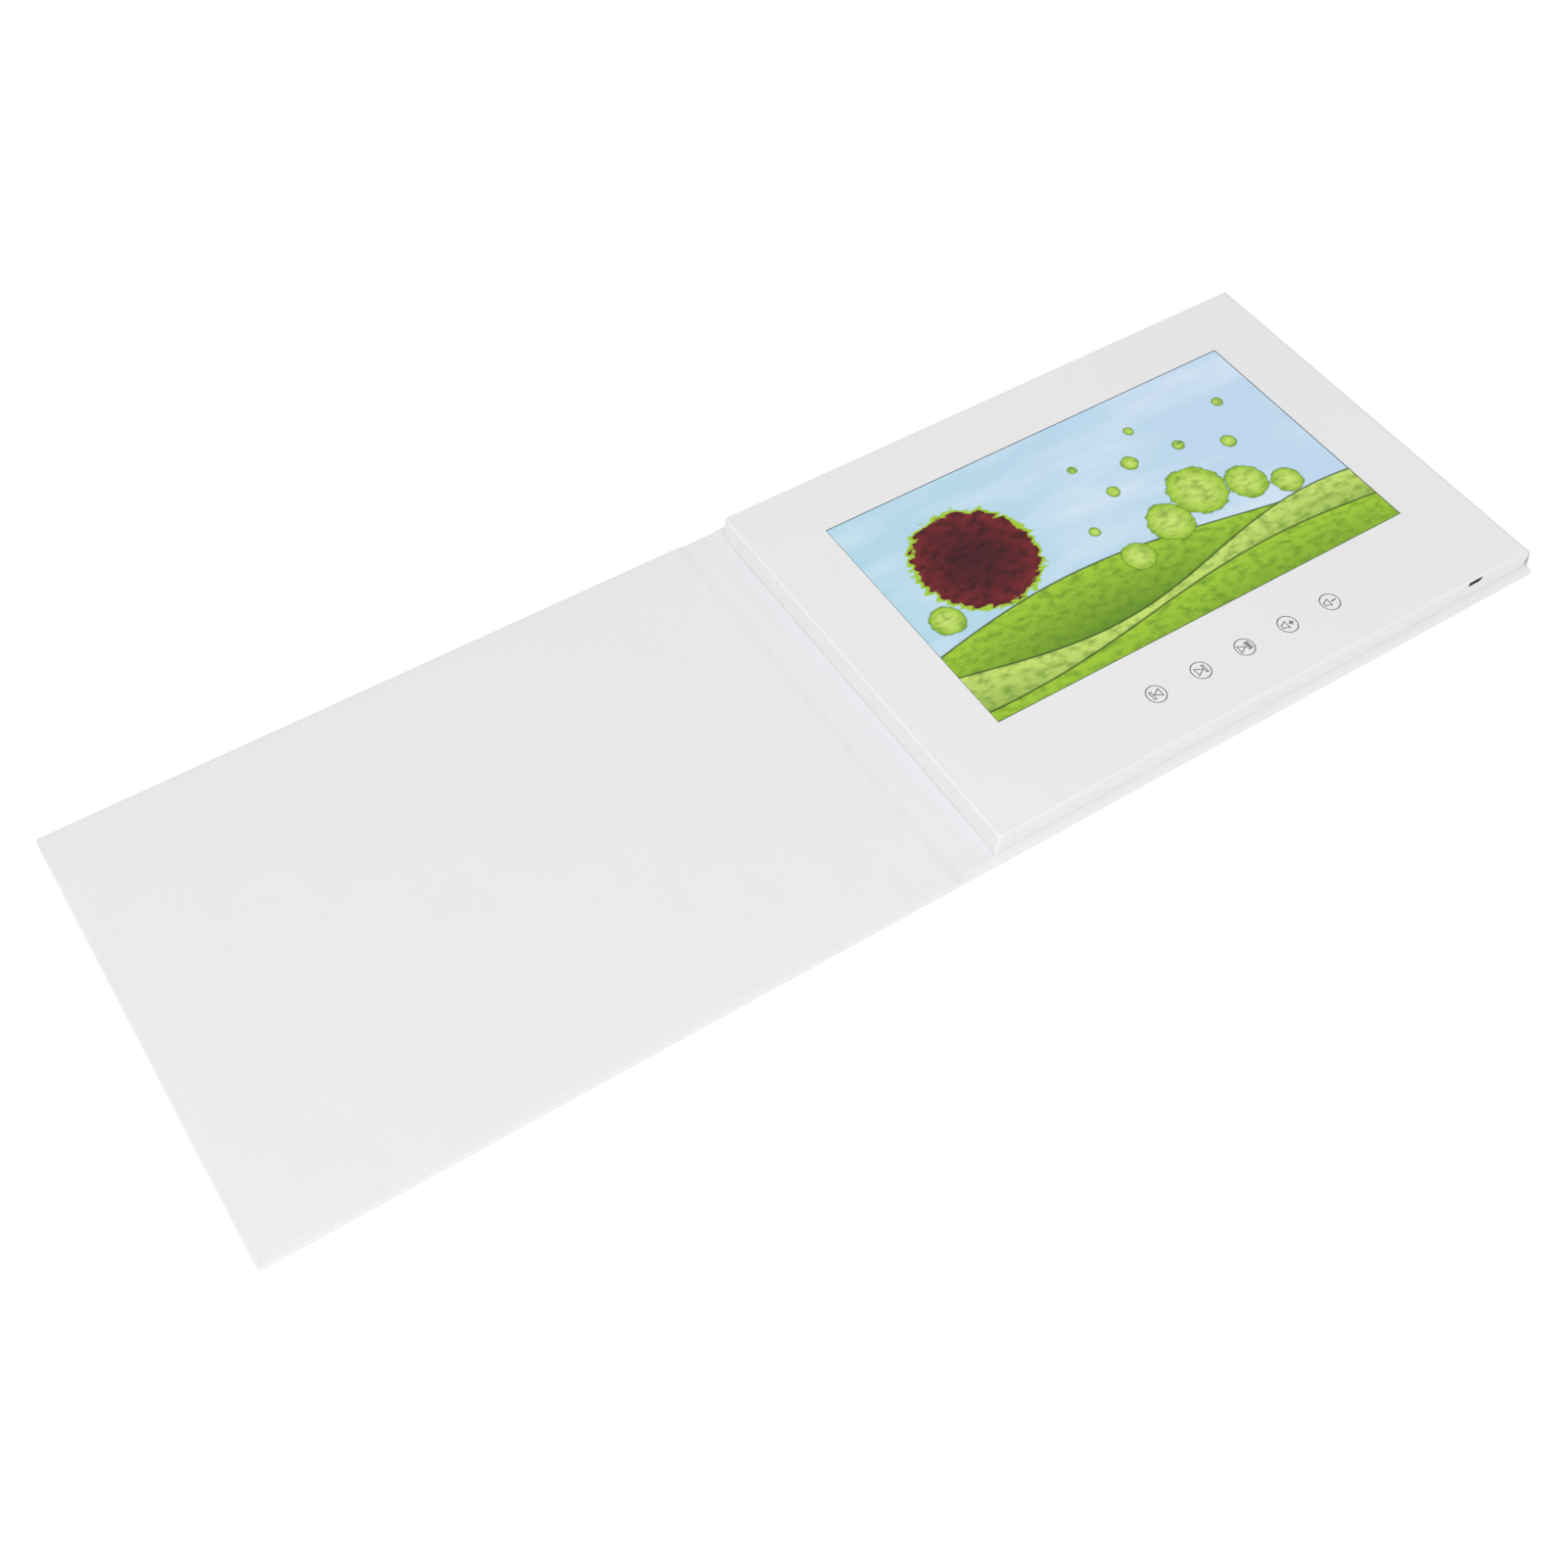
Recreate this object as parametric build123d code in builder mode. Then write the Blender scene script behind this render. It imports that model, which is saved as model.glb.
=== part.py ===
# A hard-cover video brochure, open and flat. A lid board and a narrow spine fold round a base
# board that carries a shallow card-covered box. The box holds a 10.1 inch screen, its player
# board, battery and speaker, five printed push buttons and a charging socket.
# Millimetres. X runs from the lid to the box, Y to the top of the picture, Z up.
# The origin is at the middle of the open case, on the surface it lies on.
from build123d import *
import os

os.makedirs("parts", exist_ok=True)

# Papers and boards of the cover
paper = 0.2
base_board_thickness = 2.0
spine_board_thickness = 1.0
lid_board_thickness = 2.0
turn_in = 15.0
liner_margin = 3.6
liner_margin_lid_edge = 5.6
paper_gap = 0.15
fold_set_back = 0.2

# Clearances of the closed brochure: standing spine to the box's wall, lid to the box's face
spine_clearance = 2.3
lid_clearance = 1.3

# Box
case_length = 288.0
case_depth = 200.0
case_height = 11.6
front_overhang = 3.9
back_overhang = 5.3
fore_overhang = 4.5
card = 0.35
face_board_thickness = 0.8
strip_thickness = 3.0
corner_radius = 1.4
face_edge_radius = 0.9
liner_inset = 0.8

# Fore-edge flap, in its section across the box
flap_bulge = 2.9
flap_bulge_drop = 2.9
flap_foot_inset = 0.4
flap_end_gap = 0.5

# Screen: the visible picture of a 10.1 inch 16:9 panel
picture_width = 222.72
picture_height = 125.28
picture_thickness = 0.25
picture_offset_x = 1.1
picture_from_front = 45.5
window_lap = 0.1
module_side_border = 6.14
module_top_border = 4.6
module_front_border = 13.12
module_thickness = 5.0
module_fit = 0.3
gasket_thickness = 0.1
gasket_width = 3.0
bezel_sheet = 0.25
bezel_opening_margin = 1.0
panel_glass = 1.3
panel_border = 3.2
light_guide_thickness = 2.9
back_plate_thickness = 0.3
driver_board_end_inset = 42.5
driver_board_height = 12.0
driver_board_thickness = 0.8
driver_board_inset = 6.0

# Buttons, in a row under the picture
button_names = ["previous", "next", "play", "louder", "softer"]
button_diameter = 9.2
button_gap = 0.15
button_pitch = 23.9
button_row_inset = 23.3
button_row_offset_x = 0.7
button_travel = 0.3
stem_diameter = 3.0
stem_length = 0.35
switch_size = 6.0
switch_wall = 0.35
plunger_diameter = 3.4
plunger_fit = 0.15
plunger_stand = 0.5
dome_diameter = 4.6
dome_thickness = 0.1
key_board_height = 11.0
key_board_end = 9.0
key_pad_height = 7.0
key_pad_inset = 4.0
key_ribbon_width = 5.5
key_ribbon_overlap = 3.0

# Charging socket
port_from_case_right = 30.6
port_drop = 2.6
port_width = 7.9
port_height = 2.8
port_fit = 0.15
shell_sheet = 0.25
shell_depth = 5.6
shell_set_in = 0.15
port_chamfer = 1.0
tongue_width = 4.6
tongue_thickness = 0.6
tongue_set_in = 0.9
tongue_rise = 0.35

# Player board, between the key board and the right end
board_depth = 25.0
board_thickness = 1.0
board_front_gap = 0.3
board_right_gap = 1.0
key_board_gap = 9.75
board_pad_inset = 4.0

# Chips: size along X, Y and Z, then the middle's place from the board's left front corner
chips = {
    "processor_chip": (14.0, 14.0, 1.0, 20.0, 12.5),
    "memory_chip": (11.0, 13.0, 1.1, 36.0, 16.5),
    "amplifier_chip": (5.0, 4.0, 1.4, 45.5, 8.0),
}
capacitor_size = 2.0
capacitor_height = 1.2
capacitor_pitch = 4.0
capacitors_x = 33.0
capacitors_y = 6.4
sensor_size = 3.0
sensor_height = 0.8
plug_width = 5.0
plug_depth = 4.0
plug_height = 2.0
plug_from_board_back = 1.5
battery_plug_from_board_left = 7.0

# Ribbons
ribbon_width = 20.0
ribbon_run = 10.0
ribbon_thickness = 0.3
ribbon_overlap = 3.0
ribbon_from_board_left = 14.0
ribbon_plug_depth = 3.0

# Battery and speaker
battery_width = 90.0
battery_height = 60.0
battery_thickness = 4.0
battery_corner_radius = 1.8
battery_edge_radius = 0.9
battery_x = 115.0
battery_y = 92.0
battery_pad_inset = 4.0
adhesive = 0.15
speaker_width = 18.0
speaker_height = 38.0
speaker_thickness = 4.6
speaker_corner_radius = 4.5
speaker_floor = 1.6
speaker_y = 84.0
speaker_magnet_diameter = 10.0
speaker_magnet_fit = 0.15
cone_border = 2.0
cone_thickness = 0.4
cone_drop = 0.6
lead_diameter = 0.9
lead_spacing = 1.3
lead_bend = 2.2
lead_straight = 0.6

# Lid magnet
magnet_diameter = 10.0
magnet_thickness = 1.2
magnet_from_turn_in = 1.0

# Heights above the surface
spine_thickness = paper + spine_board_thickness + paper
lid_thickness = paper + lid_board_thickness + paper
rim_height = paper + base_board_thickness
case_bottom = rim_height + paper
case_top = case_bottom + case_height
face_underside = case_top - card - face_board_thickness
fold_axis_height = paper / 2

# Folding geometry: the spine stands beside the box's left wall, and the closed lid lies clear
# of the box's face with its edge over the base board's edge
lid_groove = lid_thickness - fold_axis_height + lid_clearance
spine_axis_offset = spine_thickness - fold_axis_height + spine_clearance
spine_span = case_top - fold_axis_height + lid_groove
base_reach = case_length + fore_overhang
lid_reach = base_reach + 2 * spine_axis_offset + spine_span

# Places along X, in the middle of the open case
case_left = (lid_reach - base_reach) / 2
case_right = case_left + case_length
base_right = case_right + fore_overhang
spine_axis_x = case_left - spine_axis_offset
lid_axis_x = spine_axis_x - spine_span
lid_left = case_left - lid_reach
spine_board_left = lid_axis_x + lid_groove
spine_board_right = spine_axis_x - fold_set_back
lid_board_right = lid_axis_x - fold_set_back
half_depth = (case_depth + front_overhang + back_overhang) / 2
case_front = front_overhang - half_depth
case_back = case_front + case_depth

# The lid magnet lies beyond the turned-in paper, and the sensor where it is when the lid is closed
magnet_x = lid_left + turn_in + magnet_from_turn_in + magnet_diameter / 2
magnet_y = turn_in + magnet_from_turn_in + magnet_diameter / 2 - half_depth
sensor_x = spine_axis_x + lid_axis_x - magnet_x

# Places of the screen and buttons
picture_x = case_left + case_length / 2 + picture_offset_x
picture_front = case_front + picture_from_front
picture_back = picture_front + picture_height
picture_y = picture_front + picture_height / 2
window_width = picture_width - 2 * window_lap
window_height = picture_height - 2 * window_lap
module_top = case_top - card - gasket_thickness
module_bottom = module_top - module_thickness
module_width = picture_width + 2 * module_side_border
module_front = picture_front - module_front_border
module_back = picture_back + module_top_border
module_height = module_back - module_front
module_y = (module_front + module_back) / 2
driver_board_width = module_width - 2 * driver_board_end_inset
glass_top = module_top - bezel_sheet
glass_bottom = glass_top - panel_glass
guide_bottom = glass_bottom - light_guide_thickness
button_y = case_front + button_row_inset
button_row_length = button_pitch * (len(button_names) - 1)
button_row_left = picture_x + button_row_offset_x - button_row_length / 2
button_xs = [button_row_left + button_pitch * i for i in range(len(button_names))]
key_board_left = button_xs[0] - key_board_end
key_board_right = button_xs[-1] + key_board_end
button_hole_radius = button_diameter / 2 + button_gap
port_x = case_right - port_from_case_right
port_z = case_top - port_drop
board_top = port_z - port_height / 2
board_bottom = board_top - board_thickness


def span(x_low, x_high, y_low, y_high):
    """Draws the rectangle between these edges in the sketch that is open."""
    with Locations(((x_low + x_high) / 2, (y_low + y_high) / 2)):
        Rectangle(x_high - x_low, y_high - y_low)


def keep(part, name):
    """Names a finished piece and writes it."""
    part.label = name
    export_step(part, f"parts/{name}.step")


# ---------------------------------------------------------------- cover boards
# Each board is cut back by the paper round its free edges, and its inner face is pressed down
# where the turned-in paper lies.

with BuildPart() as base_board:
    with BuildSketch(Plane.XY.offset(paper)):
        span(case_left, base_right - paper, paper - half_depth, half_depth - paper)
    extrude(amount=base_board_thickness)
    with BuildSketch(Plane.XY.offset(rim_height - paper)):
        span(case_left, base_right, -half_depth, half_depth)
        with Locations(((case_left + base_right - turn_in) / 2, 0)):
            Rectangle(base_right - turn_in - case_left, 2 * (half_depth - turn_in), mode=Mode.SUBTRACT)
    extrude(amount=paper, mode=Mode.SUBTRACT)
keep(base_board.part, "base_board")

with BuildPart() as spine_board:
    with BuildSketch(Plane.XY.offset(paper)):
        span(spine_board_left, spine_board_right, paper - half_depth, half_depth - paper)
    extrude(amount=spine_board_thickness)
    with BuildSketch(Plane.XY.offset(spine_board_thickness)):
        span(spine_board_left, spine_board_right, half_depth - turn_in, half_depth)
        span(spine_board_left, spine_board_right, -half_depth, turn_in - half_depth)
    extrude(amount=paper, mode=Mode.SUBTRACT)
keep(spine_board.part, "spine_board")

# The lid magnet is let into the board, under the liner.
magnet_bottom = lid_board_thickness + paper - magnet_thickness

with BuildPart() as lid_board:
    with BuildSketch(Plane.XY.offset(paper)):
        span(lid_left + paper, lid_board_right, paper - half_depth, half_depth - paper)
    extrude(amount=lid_board_thickness)
    with BuildSketch(Plane.XY.offset(lid_board_thickness)):
        span(lid_left, lid_board_right, -half_depth, half_depth)
        with Locations(((lid_left + turn_in + lid_board_right) / 2, 0)):
            Rectangle(lid_board_right - lid_left - turn_in, 2 * (half_depth - turn_in), mode=Mode.SUBTRACT)
    extrude(amount=paper, mode=Mode.SUBTRACT)
    with BuildSketch(Plane.XY.offset(magnet_bottom)):
        with Locations((magnet_x, magnet_y)):
            Circle(magnet_diameter / 2)
    extrude(amount=magnet_thickness, mode=Mode.SUBTRACT)
keep(lid_board.part, "lid_board")

with BuildPart() as lid_magnet:
    with BuildSketch(Plane.XY.offset(magnet_bottom)):
        with Locations((magnet_x, magnet_y)):
            Circle(magnet_diameter / 2)
    extrude(amount=magnet_thickness)
keep(lid_magnet.part, "lid_magnet")

# ---------------------------------------------------------------- cover papers
# White laminated paper under each board, up its free edges and turned in over the inner face.
# The paper is the hinge: it is parted at each fold's axis.

with BuildPart() as base_wrap:
    with BuildSketch():
        span(spine_axis_x + paper_gap, base_right, -half_depth, half_depth)
    extrude(amount=paper)
    with BuildSketch():
        span(case_left, base_right, -half_depth, half_depth)
        with Locations(((case_left + base_right - paper) / 2, 0)):
            Rectangle(base_right - paper - case_left, 2 * (half_depth - paper), mode=Mode.SUBTRACT)
    extrude(amount=rim_height)
    with BuildSketch(Plane.XY.offset(rim_height - paper)):
        span(case_left, base_right, -half_depth, half_depth)
        with Locations(((case_left + base_right - turn_in) / 2, 0)):
            Rectangle(base_right - turn_in - case_left, 2 * (half_depth - turn_in), mode=Mode.SUBTRACT)
    extrude(amount=paper)
keep(base_wrap.part, "base_wrap")

with BuildPart() as spine_wrap:
    with BuildSketch():
        span(lid_axis_x + paper_gap, spine_axis_x - paper_gap, -half_depth, half_depth)
    extrude(amount=paper)
    with BuildSketch():
        span(spine_board_left, spine_board_right, half_depth - paper, half_depth)
        span(spine_board_left, spine_board_right, -half_depth, paper - half_depth)
    extrude(amount=spine_board_thickness + paper)
    with BuildSketch(Plane.XY.offset(spine_board_thickness)):
        span(spine_board_left, spine_board_right, half_depth - turn_in, half_depth)
        span(spine_board_left, spine_board_right, -half_depth, turn_in - half_depth)
    extrude(amount=paper)
keep(spine_wrap.part, "spine_wrap")

with BuildPart() as lid_wrap:
    with BuildSketch():
        span(lid_left, lid_axis_x - paper_gap, -half_depth, half_depth)
    extrude(amount=paper)
    with BuildSketch():
        span(lid_left, lid_board_right, -half_depth, half_depth)
        with Locations(((lid_left + paper + lid_board_right) / 2, 0)):
            Rectangle(lid_board_right - lid_left - paper, 2 * (half_depth - paper), mode=Mode.SUBTRACT)
    extrude(amount=lid_board_thickness + paper)
    with BuildSketch(Plane.XY.offset(lid_board_thickness)):
        span(lid_left, lid_board_right, -half_depth, half_depth)
        with Locations(((lid_left + turn_in + lid_board_right) / 2, 0)):
            Rectangle(lid_board_right - lid_left - turn_in, 2 * (half_depth - turn_in), mode=Mode.SUBTRACT)
    extrude(amount=paper)
keep(lid_wrap.part, "lid_wrap")

# ---------------------------------------------------------------- liner papers
# One white sheet in use: over the lid and the spine, and under the box.

with BuildPart() as base_liner:
    with BuildSketch(Plane.XY.offset(rim_height)):
        span(case_left, case_right - liner_inset, case_front + liner_inset, case_back - liner_inset)
    extrude(amount=paper)
keep(base_liner.part, "base_liner")

with BuildPart() as spine_liner:
    with BuildSketch(Plane.XY.offset(spine_thickness - paper)):
        span(spine_board_left, spine_board_right, liner_margin - half_depth, half_depth - liner_margin)
    extrude(amount=paper)
keep(spine_liner.part, "spine_liner")

with BuildPart() as lid_liner:
    with BuildSketch(Plane.XY.offset(lid_thickness - paper)):
        span(
            lid_left + liner_margin_lid_edge,
            lid_board_right,
            liner_margin - half_depth,
            half_depth - liner_margin,
        )
    extrude(amount=paper)
keep(lid_liner.part, "lid_liner")

# ---------------------------------------------------------------- box
# Folded white card: the face and four walls, with rounded upper edges.

with BuildPart() as case_cover:
    with BuildSketch(Plane.XY.offset(case_bottom)):
        with Locations(((case_left + case_right) / 2, (case_front + case_back) / 2)):
            RectangleRounded(case_length, case_depth, corner_radius)
    extrude(amount=case_height)
    fillet(faces().sort_by(Axis.Z)[-1].edges(), face_edge_radius)
    offset(amount=-card, openings=faces().sort_by(Axis.Z)[0])
    with BuildSketch(Plane.XY.offset(face_underside)):
        with Locations((picture_x, picture_y)):
            Rectangle(window_width, window_height)
        for x in button_xs:
            with Locations((x, button_y)):
                Circle(button_hole_radius)
    extrude(amount=case_top - face_underside, mode=Mode.SUBTRACT)
    with BuildSketch(Plane.XZ.offset(-case_front)):
        with Locations((port_x, port_z)):
            Rectangle(port_width + 2 * port_fit, port_height + 2 * port_fit)
        chamfer(vertices().group_by(Axis.Y)[0], port_chamfer)
    extrude(amount=-card, mode=Mode.SUBTRACT)
keep(case_cover.part, "case_cover")

# Card flap that closes the right end: it leaves the face's edge, bulges and leans out to the
# base board's edge.
with BuildPart() as fore_edge_flap:
    with BuildSketch(Plane.XZ.offset(-(case_front + flap_end_gap))):
        with BuildLine():
            Polyline(
                (case_right, case_top - face_edge_radius),
                (case_right + flap_bulge, case_top - flap_bulge_drop),
                (base_right - flap_foot_inset, rim_height),
                (base_right - flap_foot_inset - card, rim_height),
                (case_right + flap_bulge - card, case_top - flap_bulge_drop - card / 2),
                (case_right, case_top - face_edge_radius - card),
                close=True,
            )
        make_face()
    extrude(amount=-(case_depth - 2 * flap_end_gap))
keep(fore_edge_flap.part, "fore_edge_flap")

inner_left = case_left + card
inner_right = case_right - card
inner_front = case_front + card
inner_back = case_back - card
strip_height = face_underside - case_bottom
port_strip_gap = port_width / 2 + 2 * port_fit

# The screen module fills the face board's opening, up to the card.
with BuildPart() as face_board:
    with BuildSketch(Plane.XY.offset(face_underside)):
        with Locations(((inner_left + inner_right) / 2, (inner_front + inner_back) / 2)):
            RectangleRounded(inner_right - inner_left, inner_back - inner_front, corner_radius - card)
        with Locations((picture_x, module_y)):
            Rectangle(module_width + 2 * module_fit, module_height + 2 * module_fit, mode=Mode.SUBTRACT)
        for x in button_xs:
            with Locations((x, button_y)):
                Circle(button_hole_radius, mode=Mode.SUBTRACT)
    extrude(amount=face_board_thickness)
    fillet(faces().sort_by(Axis.Z)[-1].outer_wire().edges(), face_edge_radius - card)
keep(face_board.part, "face_board")

# Frame strips behind the walls. The front one is cut in two for the socket.
strip_ends = {
    "strip_front_left": (
        inner_left + corner_radius,
        port_x - port_strip_gap,
        inner_front,
        inner_front + strip_thickness,
    ),
    "strip_front_right": (
        port_x + port_strip_gap,
        inner_right - corner_radius,
        inner_front,
        inner_front + strip_thickness,
    ),
    "strip_back": (
        inner_left + corner_radius,
        inner_right - corner_radius,
        inner_back - strip_thickness,
        inner_back,
    ),
    "strip_left": (
        inner_left,
        inner_left + strip_thickness,
        inner_front + strip_thickness,
        inner_back - strip_thickness,
    ),
    "strip_right": (
        inner_right - strip_thickness,
        inner_right,
        inner_front + strip_thickness,
        inner_back - strip_thickness,
    ),
}
for strip_name, (x_low, x_high, y_low, y_high) in strip_ends.items():
    with BuildPart() as strip:
        with BuildSketch(Plane.XY.offset(case_bottom)):
            span(x_low, x_high, y_low, y_high)
        extrude(amount=strip_height)
    keep(strip.part, strip_name)

# ---------------------------------------------------------------- screen

with BuildPart() as lcd_gasket:
    with BuildSketch(Plane.XY.offset(module_top)):
        with Locations((picture_x, picture_y)):
            Rectangle(window_width + 2 * gasket_width, window_height + 2 * gasket_width)
            Rectangle(window_width, window_height, mode=Mode.SUBTRACT)
    extrude(amount=gasket_thickness)
keep(lcd_gasket.part, "lcd_gasket")

# Thin steel frame: a lip round the glass and four walls down to the back plate.
with BuildPart() as lcd_bezel:
    with BuildSketch(Plane.XY.offset(module_bottom)):
        with Locations((picture_x, module_y)):
            Rectangle(module_width, module_height)
    extrude(amount=module_thickness)
    offset(amount=-bezel_sheet, openings=faces().sort_by(Axis.Z)[0])
    with BuildSketch(Plane.XY.offset(glass_top)):
        with Locations((picture_x, picture_y)):
            Rectangle(
                picture_width + 2 * bezel_opening_margin,
                picture_height + 2 * bezel_opening_margin,
            )
    extrude(amount=bezel_sheet, mode=Mode.SUBTRACT)
keep(lcd_bezel.part, "lcd_bezel")

panel_width = picture_width + 2 * panel_border
panel_front = module_front + 2 * bezel_sheet
panel_back = picture_back + panel_border

with BuildPart() as lcd_panel:
    with BuildSketch(Plane.XY.offset(glass_bottom)):
        span(picture_x - panel_width / 2, picture_x + panel_width / 2, panel_front, panel_back)
    extrude(amount=panel_glass)
keep(lcd_panel.part, "lcd_panel")

with BuildPart() as lcd_picture:
    with BuildSketch(Plane.XY.offset(glass_top)):
        with Locations((picture_x, picture_y)):
            Rectangle(picture_width, picture_height)
    extrude(amount=picture_thickness)
keep(lcd_picture.part, "lcd_picture")

with BuildPart() as lcd_light_guide:
    with BuildSketch(Plane.XY.offset(guide_bottom)):
        span(picture_x - panel_width / 2, picture_x + panel_width / 2, panel_front, panel_back)
    extrude(amount=light_guide_thickness)
keep(lcd_light_guide.part, "lcd_light_guide")

with BuildPart() as lcd_back_plate:
    with BuildSketch(Plane.XY.offset(guide_bottom - back_plate_thickness)):
        with Locations((picture_x, module_y)):
            Rectangle(module_width - 2 * bezel_sheet, module_height - 2 * bezel_sheet)
    extrude(amount=back_plate_thickness)
keep(lcd_back_plate.part, "lcd_back_plate")

driver_board_top = guide_bottom - back_plate_thickness
driver_board_bottom = driver_board_top - driver_board_thickness
with BuildPart() as lcd_driver_board:
    with BuildSketch(Plane.XY.offset(driver_board_bottom)):
        with Locations((picture_x, module_front + driver_board_inset + driver_board_height / 2)):
            Rectangle(driver_board_width, driver_board_height)
    extrude(amount=driver_board_thickness)
keep(lcd_driver_board.part, "lcd_driver_board")

# ---------------------------------------------------------------- player board

board_right = inner_right - strip_thickness - board_right_gap
board_left = key_board_right + key_board_gap
board_front = inner_front + strip_thickness + board_front_gap
board_back = board_front + board_depth

with BuildPart() as main_board:
    with BuildSketch(Plane.XY.offset(board_bottom)):
        span(board_left, board_right, board_front, board_back)
    extrude(amount=board_thickness)
keep(main_board.part, "main_board")

with BuildPart() as board_pad:
    with BuildSketch(Plane.XY.offset(case_bottom)):
        span(
            board_left + board_pad_inset,
            board_right - board_pad_inset,
            board_front + board_pad_inset,
            board_back - board_pad_inset,
        )
    extrude(amount=board_bottom - case_bottom)
keep(board_pad.part, "board_pad")

for chip_name, (chip_length, chip_depth, chip_height, from_left, from_front) in chips.items():
    with BuildPart() as chip:
        with BuildSketch(Plane.XY.offset(board_top)):
            with Locations((board_left + from_left, board_front + from_front)):
                Rectangle(chip_length, chip_depth)
        extrude(amount=chip_height)
    keep(chip.part, chip_name)

# Sensor that the lid's magnet switches
with BuildPart() as hall_sensor:
    with BuildSketch(Plane.XY.offset(board_top)):
        with Locations((sensor_x, magnet_y)):
            Rectangle(sensor_size, sensor_size)
    extrude(amount=sensor_height)
keep(hall_sensor.part, "hall_sensor")

with BuildPart() as capacitors:
    with BuildSketch(Plane.XY.offset(board_top)):
        with Locations((board_left + capacitors_x, board_front + capacitors_y)):
            with GridLocations(capacitor_pitch, capacitor_pitch, 3, 2):
                Rectangle(capacitor_size, capacitor_size)
    extrude(amount=capacitor_height)
keep(capacitors.part, "capacitors")

# Charging socket: a folded steel shell whose mouth is flush with the wall, and its tongue.
shell_mouth = case_front + shell_set_in
with BuildPart() as usb_shell:
    with BuildSketch(Plane.XZ.offset(-shell_mouth)):
        with Locations((port_x, port_z)):
            Rectangle(port_width, port_height)
        chamfer(vertices().group_by(Axis.Y)[0], port_chamfer)
    extrude(amount=-shell_depth)
    offset(amount=-shell_sheet, openings=faces().sort_by(Axis.Y)[0])
keep(usb_shell.part, "usb_shell")

with BuildPart() as usb_tongue:
    with BuildSketch(Plane.XZ.offset(-(shell_mouth + tongue_set_in))):
        with Locations((port_x, port_z + tongue_rise)):
            Rectangle(tongue_width, tongue_thickness)
    extrude(amount=-(shell_depth - shell_sheet - tongue_set_in))
keep(usb_tongue.part, "usb_tongue")

# ---------------------------------------------------------------- battery and speaker

with BuildPart() as battery_pad:
    with BuildSketch(Plane.XY.offset(case_bottom)):
        with Locations((case_left + battery_x, case_front + battery_y)):
            Rectangle(battery_width - 2 * battery_pad_inset, battery_height - 2 * battery_pad_inset)
    extrude(amount=adhesive)
keep(battery_pad.part, "battery_pad")

battery_bottom = case_bottom + adhesive
with BuildPart() as battery_cell:
    with BuildSketch(Plane.XY.offset(battery_bottom)):
        with Locations((case_left + battery_x, case_front + battery_y)):
            RectangleRounded(battery_width, battery_height, battery_corner_radius)
    extrude(amount=battery_thickness)
    fillet(edges().filter_by(Plane.XY).group_by(Axis.Z)[-1], battery_edge_radius)
keep(battery_cell.part, "battery_cell")

speaker_x = inner_right - strip_thickness - speaker_width / 2 - board_right_gap
speaker_centre_y = case_front + speaker_y
with BuildPart() as speaker_frame:
    with BuildSketch(Plane.XY.offset(case_bottom)):
        with Locations((speaker_x, speaker_centre_y)):
            RectangleRounded(speaker_width, speaker_height, speaker_corner_radius)
            Circle(speaker_magnet_diameter / 2 + speaker_magnet_fit, mode=Mode.SUBTRACT)
    extrude(amount=speaker_floor)
    with BuildSketch(Plane.XY.offset(case_bottom + speaker_floor)):
        with Locations((speaker_x, speaker_centre_y)):
            RectangleRounded(speaker_width, speaker_height, speaker_corner_radius)
            RectangleRounded(
                speaker_width - 2 * cone_border,
                speaker_height - 2 * cone_border,
                speaker_corner_radius - cone_border,
                mode=Mode.SUBTRACT,
            )
    extrude(amount=speaker_thickness - speaker_floor)
keep(speaker_frame.part, "speaker_frame")

cone_bottom = case_bottom + speaker_thickness - cone_drop - cone_thickness
with BuildPart() as speaker_magnet:
    with BuildSketch(Plane.XY.offset(case_bottom)):
        with Locations((speaker_x, speaker_centre_y)):
            Circle(speaker_magnet_diameter / 2)
    extrude(amount=cone_bottom - case_bottom)
keep(speaker_magnet.part, "speaker_magnet")

with BuildPart() as speaker_cone:
    with BuildSketch(Plane.XY.offset(cone_bottom)):
        with Locations((speaker_x, speaker_centre_y)):
            RectangleRounded(
                speaker_width - 2 * cone_border,
                speaker_height - 2 * cone_border,
                speaker_corner_radius - cone_border,
            )
    extrude(amount=cone_thickness)
keep(speaker_cone.part, "speaker_cone")

# Plugs on the player board, with their leads: a pair of round wires that run straight down
# from the plug, turn and lie along the box's floor.
battery_plug_x = board_left + battery_plug_from_board_left
plug_back = board_back - plug_from_board_back
lead_z = case_bottom + lead_diameter / 2 + adhesive
plug_lead_z = board_top + plug_height / 2

with BuildPart() as battery_plug:
    with BuildSketch(Plane.XY.offset(board_top)):
        span(
            battery_plug_x - plug_width / 2,
            battery_plug_x + plug_width / 2,
            plug_back - plug_depth,
            plug_back,
        )
    extrude(amount=plug_height)
keep(battery_plug.part, "battery_plug")

with BuildPart() as speaker_plug:
    with BuildSketch(Plane.XY.offset(board_top)):
        span(
            speaker_x - plug_width / 2,
            speaker_x + plug_width / 2,
            plug_back - plug_depth,
            plug_back,
        )
    extrude(amount=plug_height)
keep(speaker_plug.part, "speaker_plug")

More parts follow.
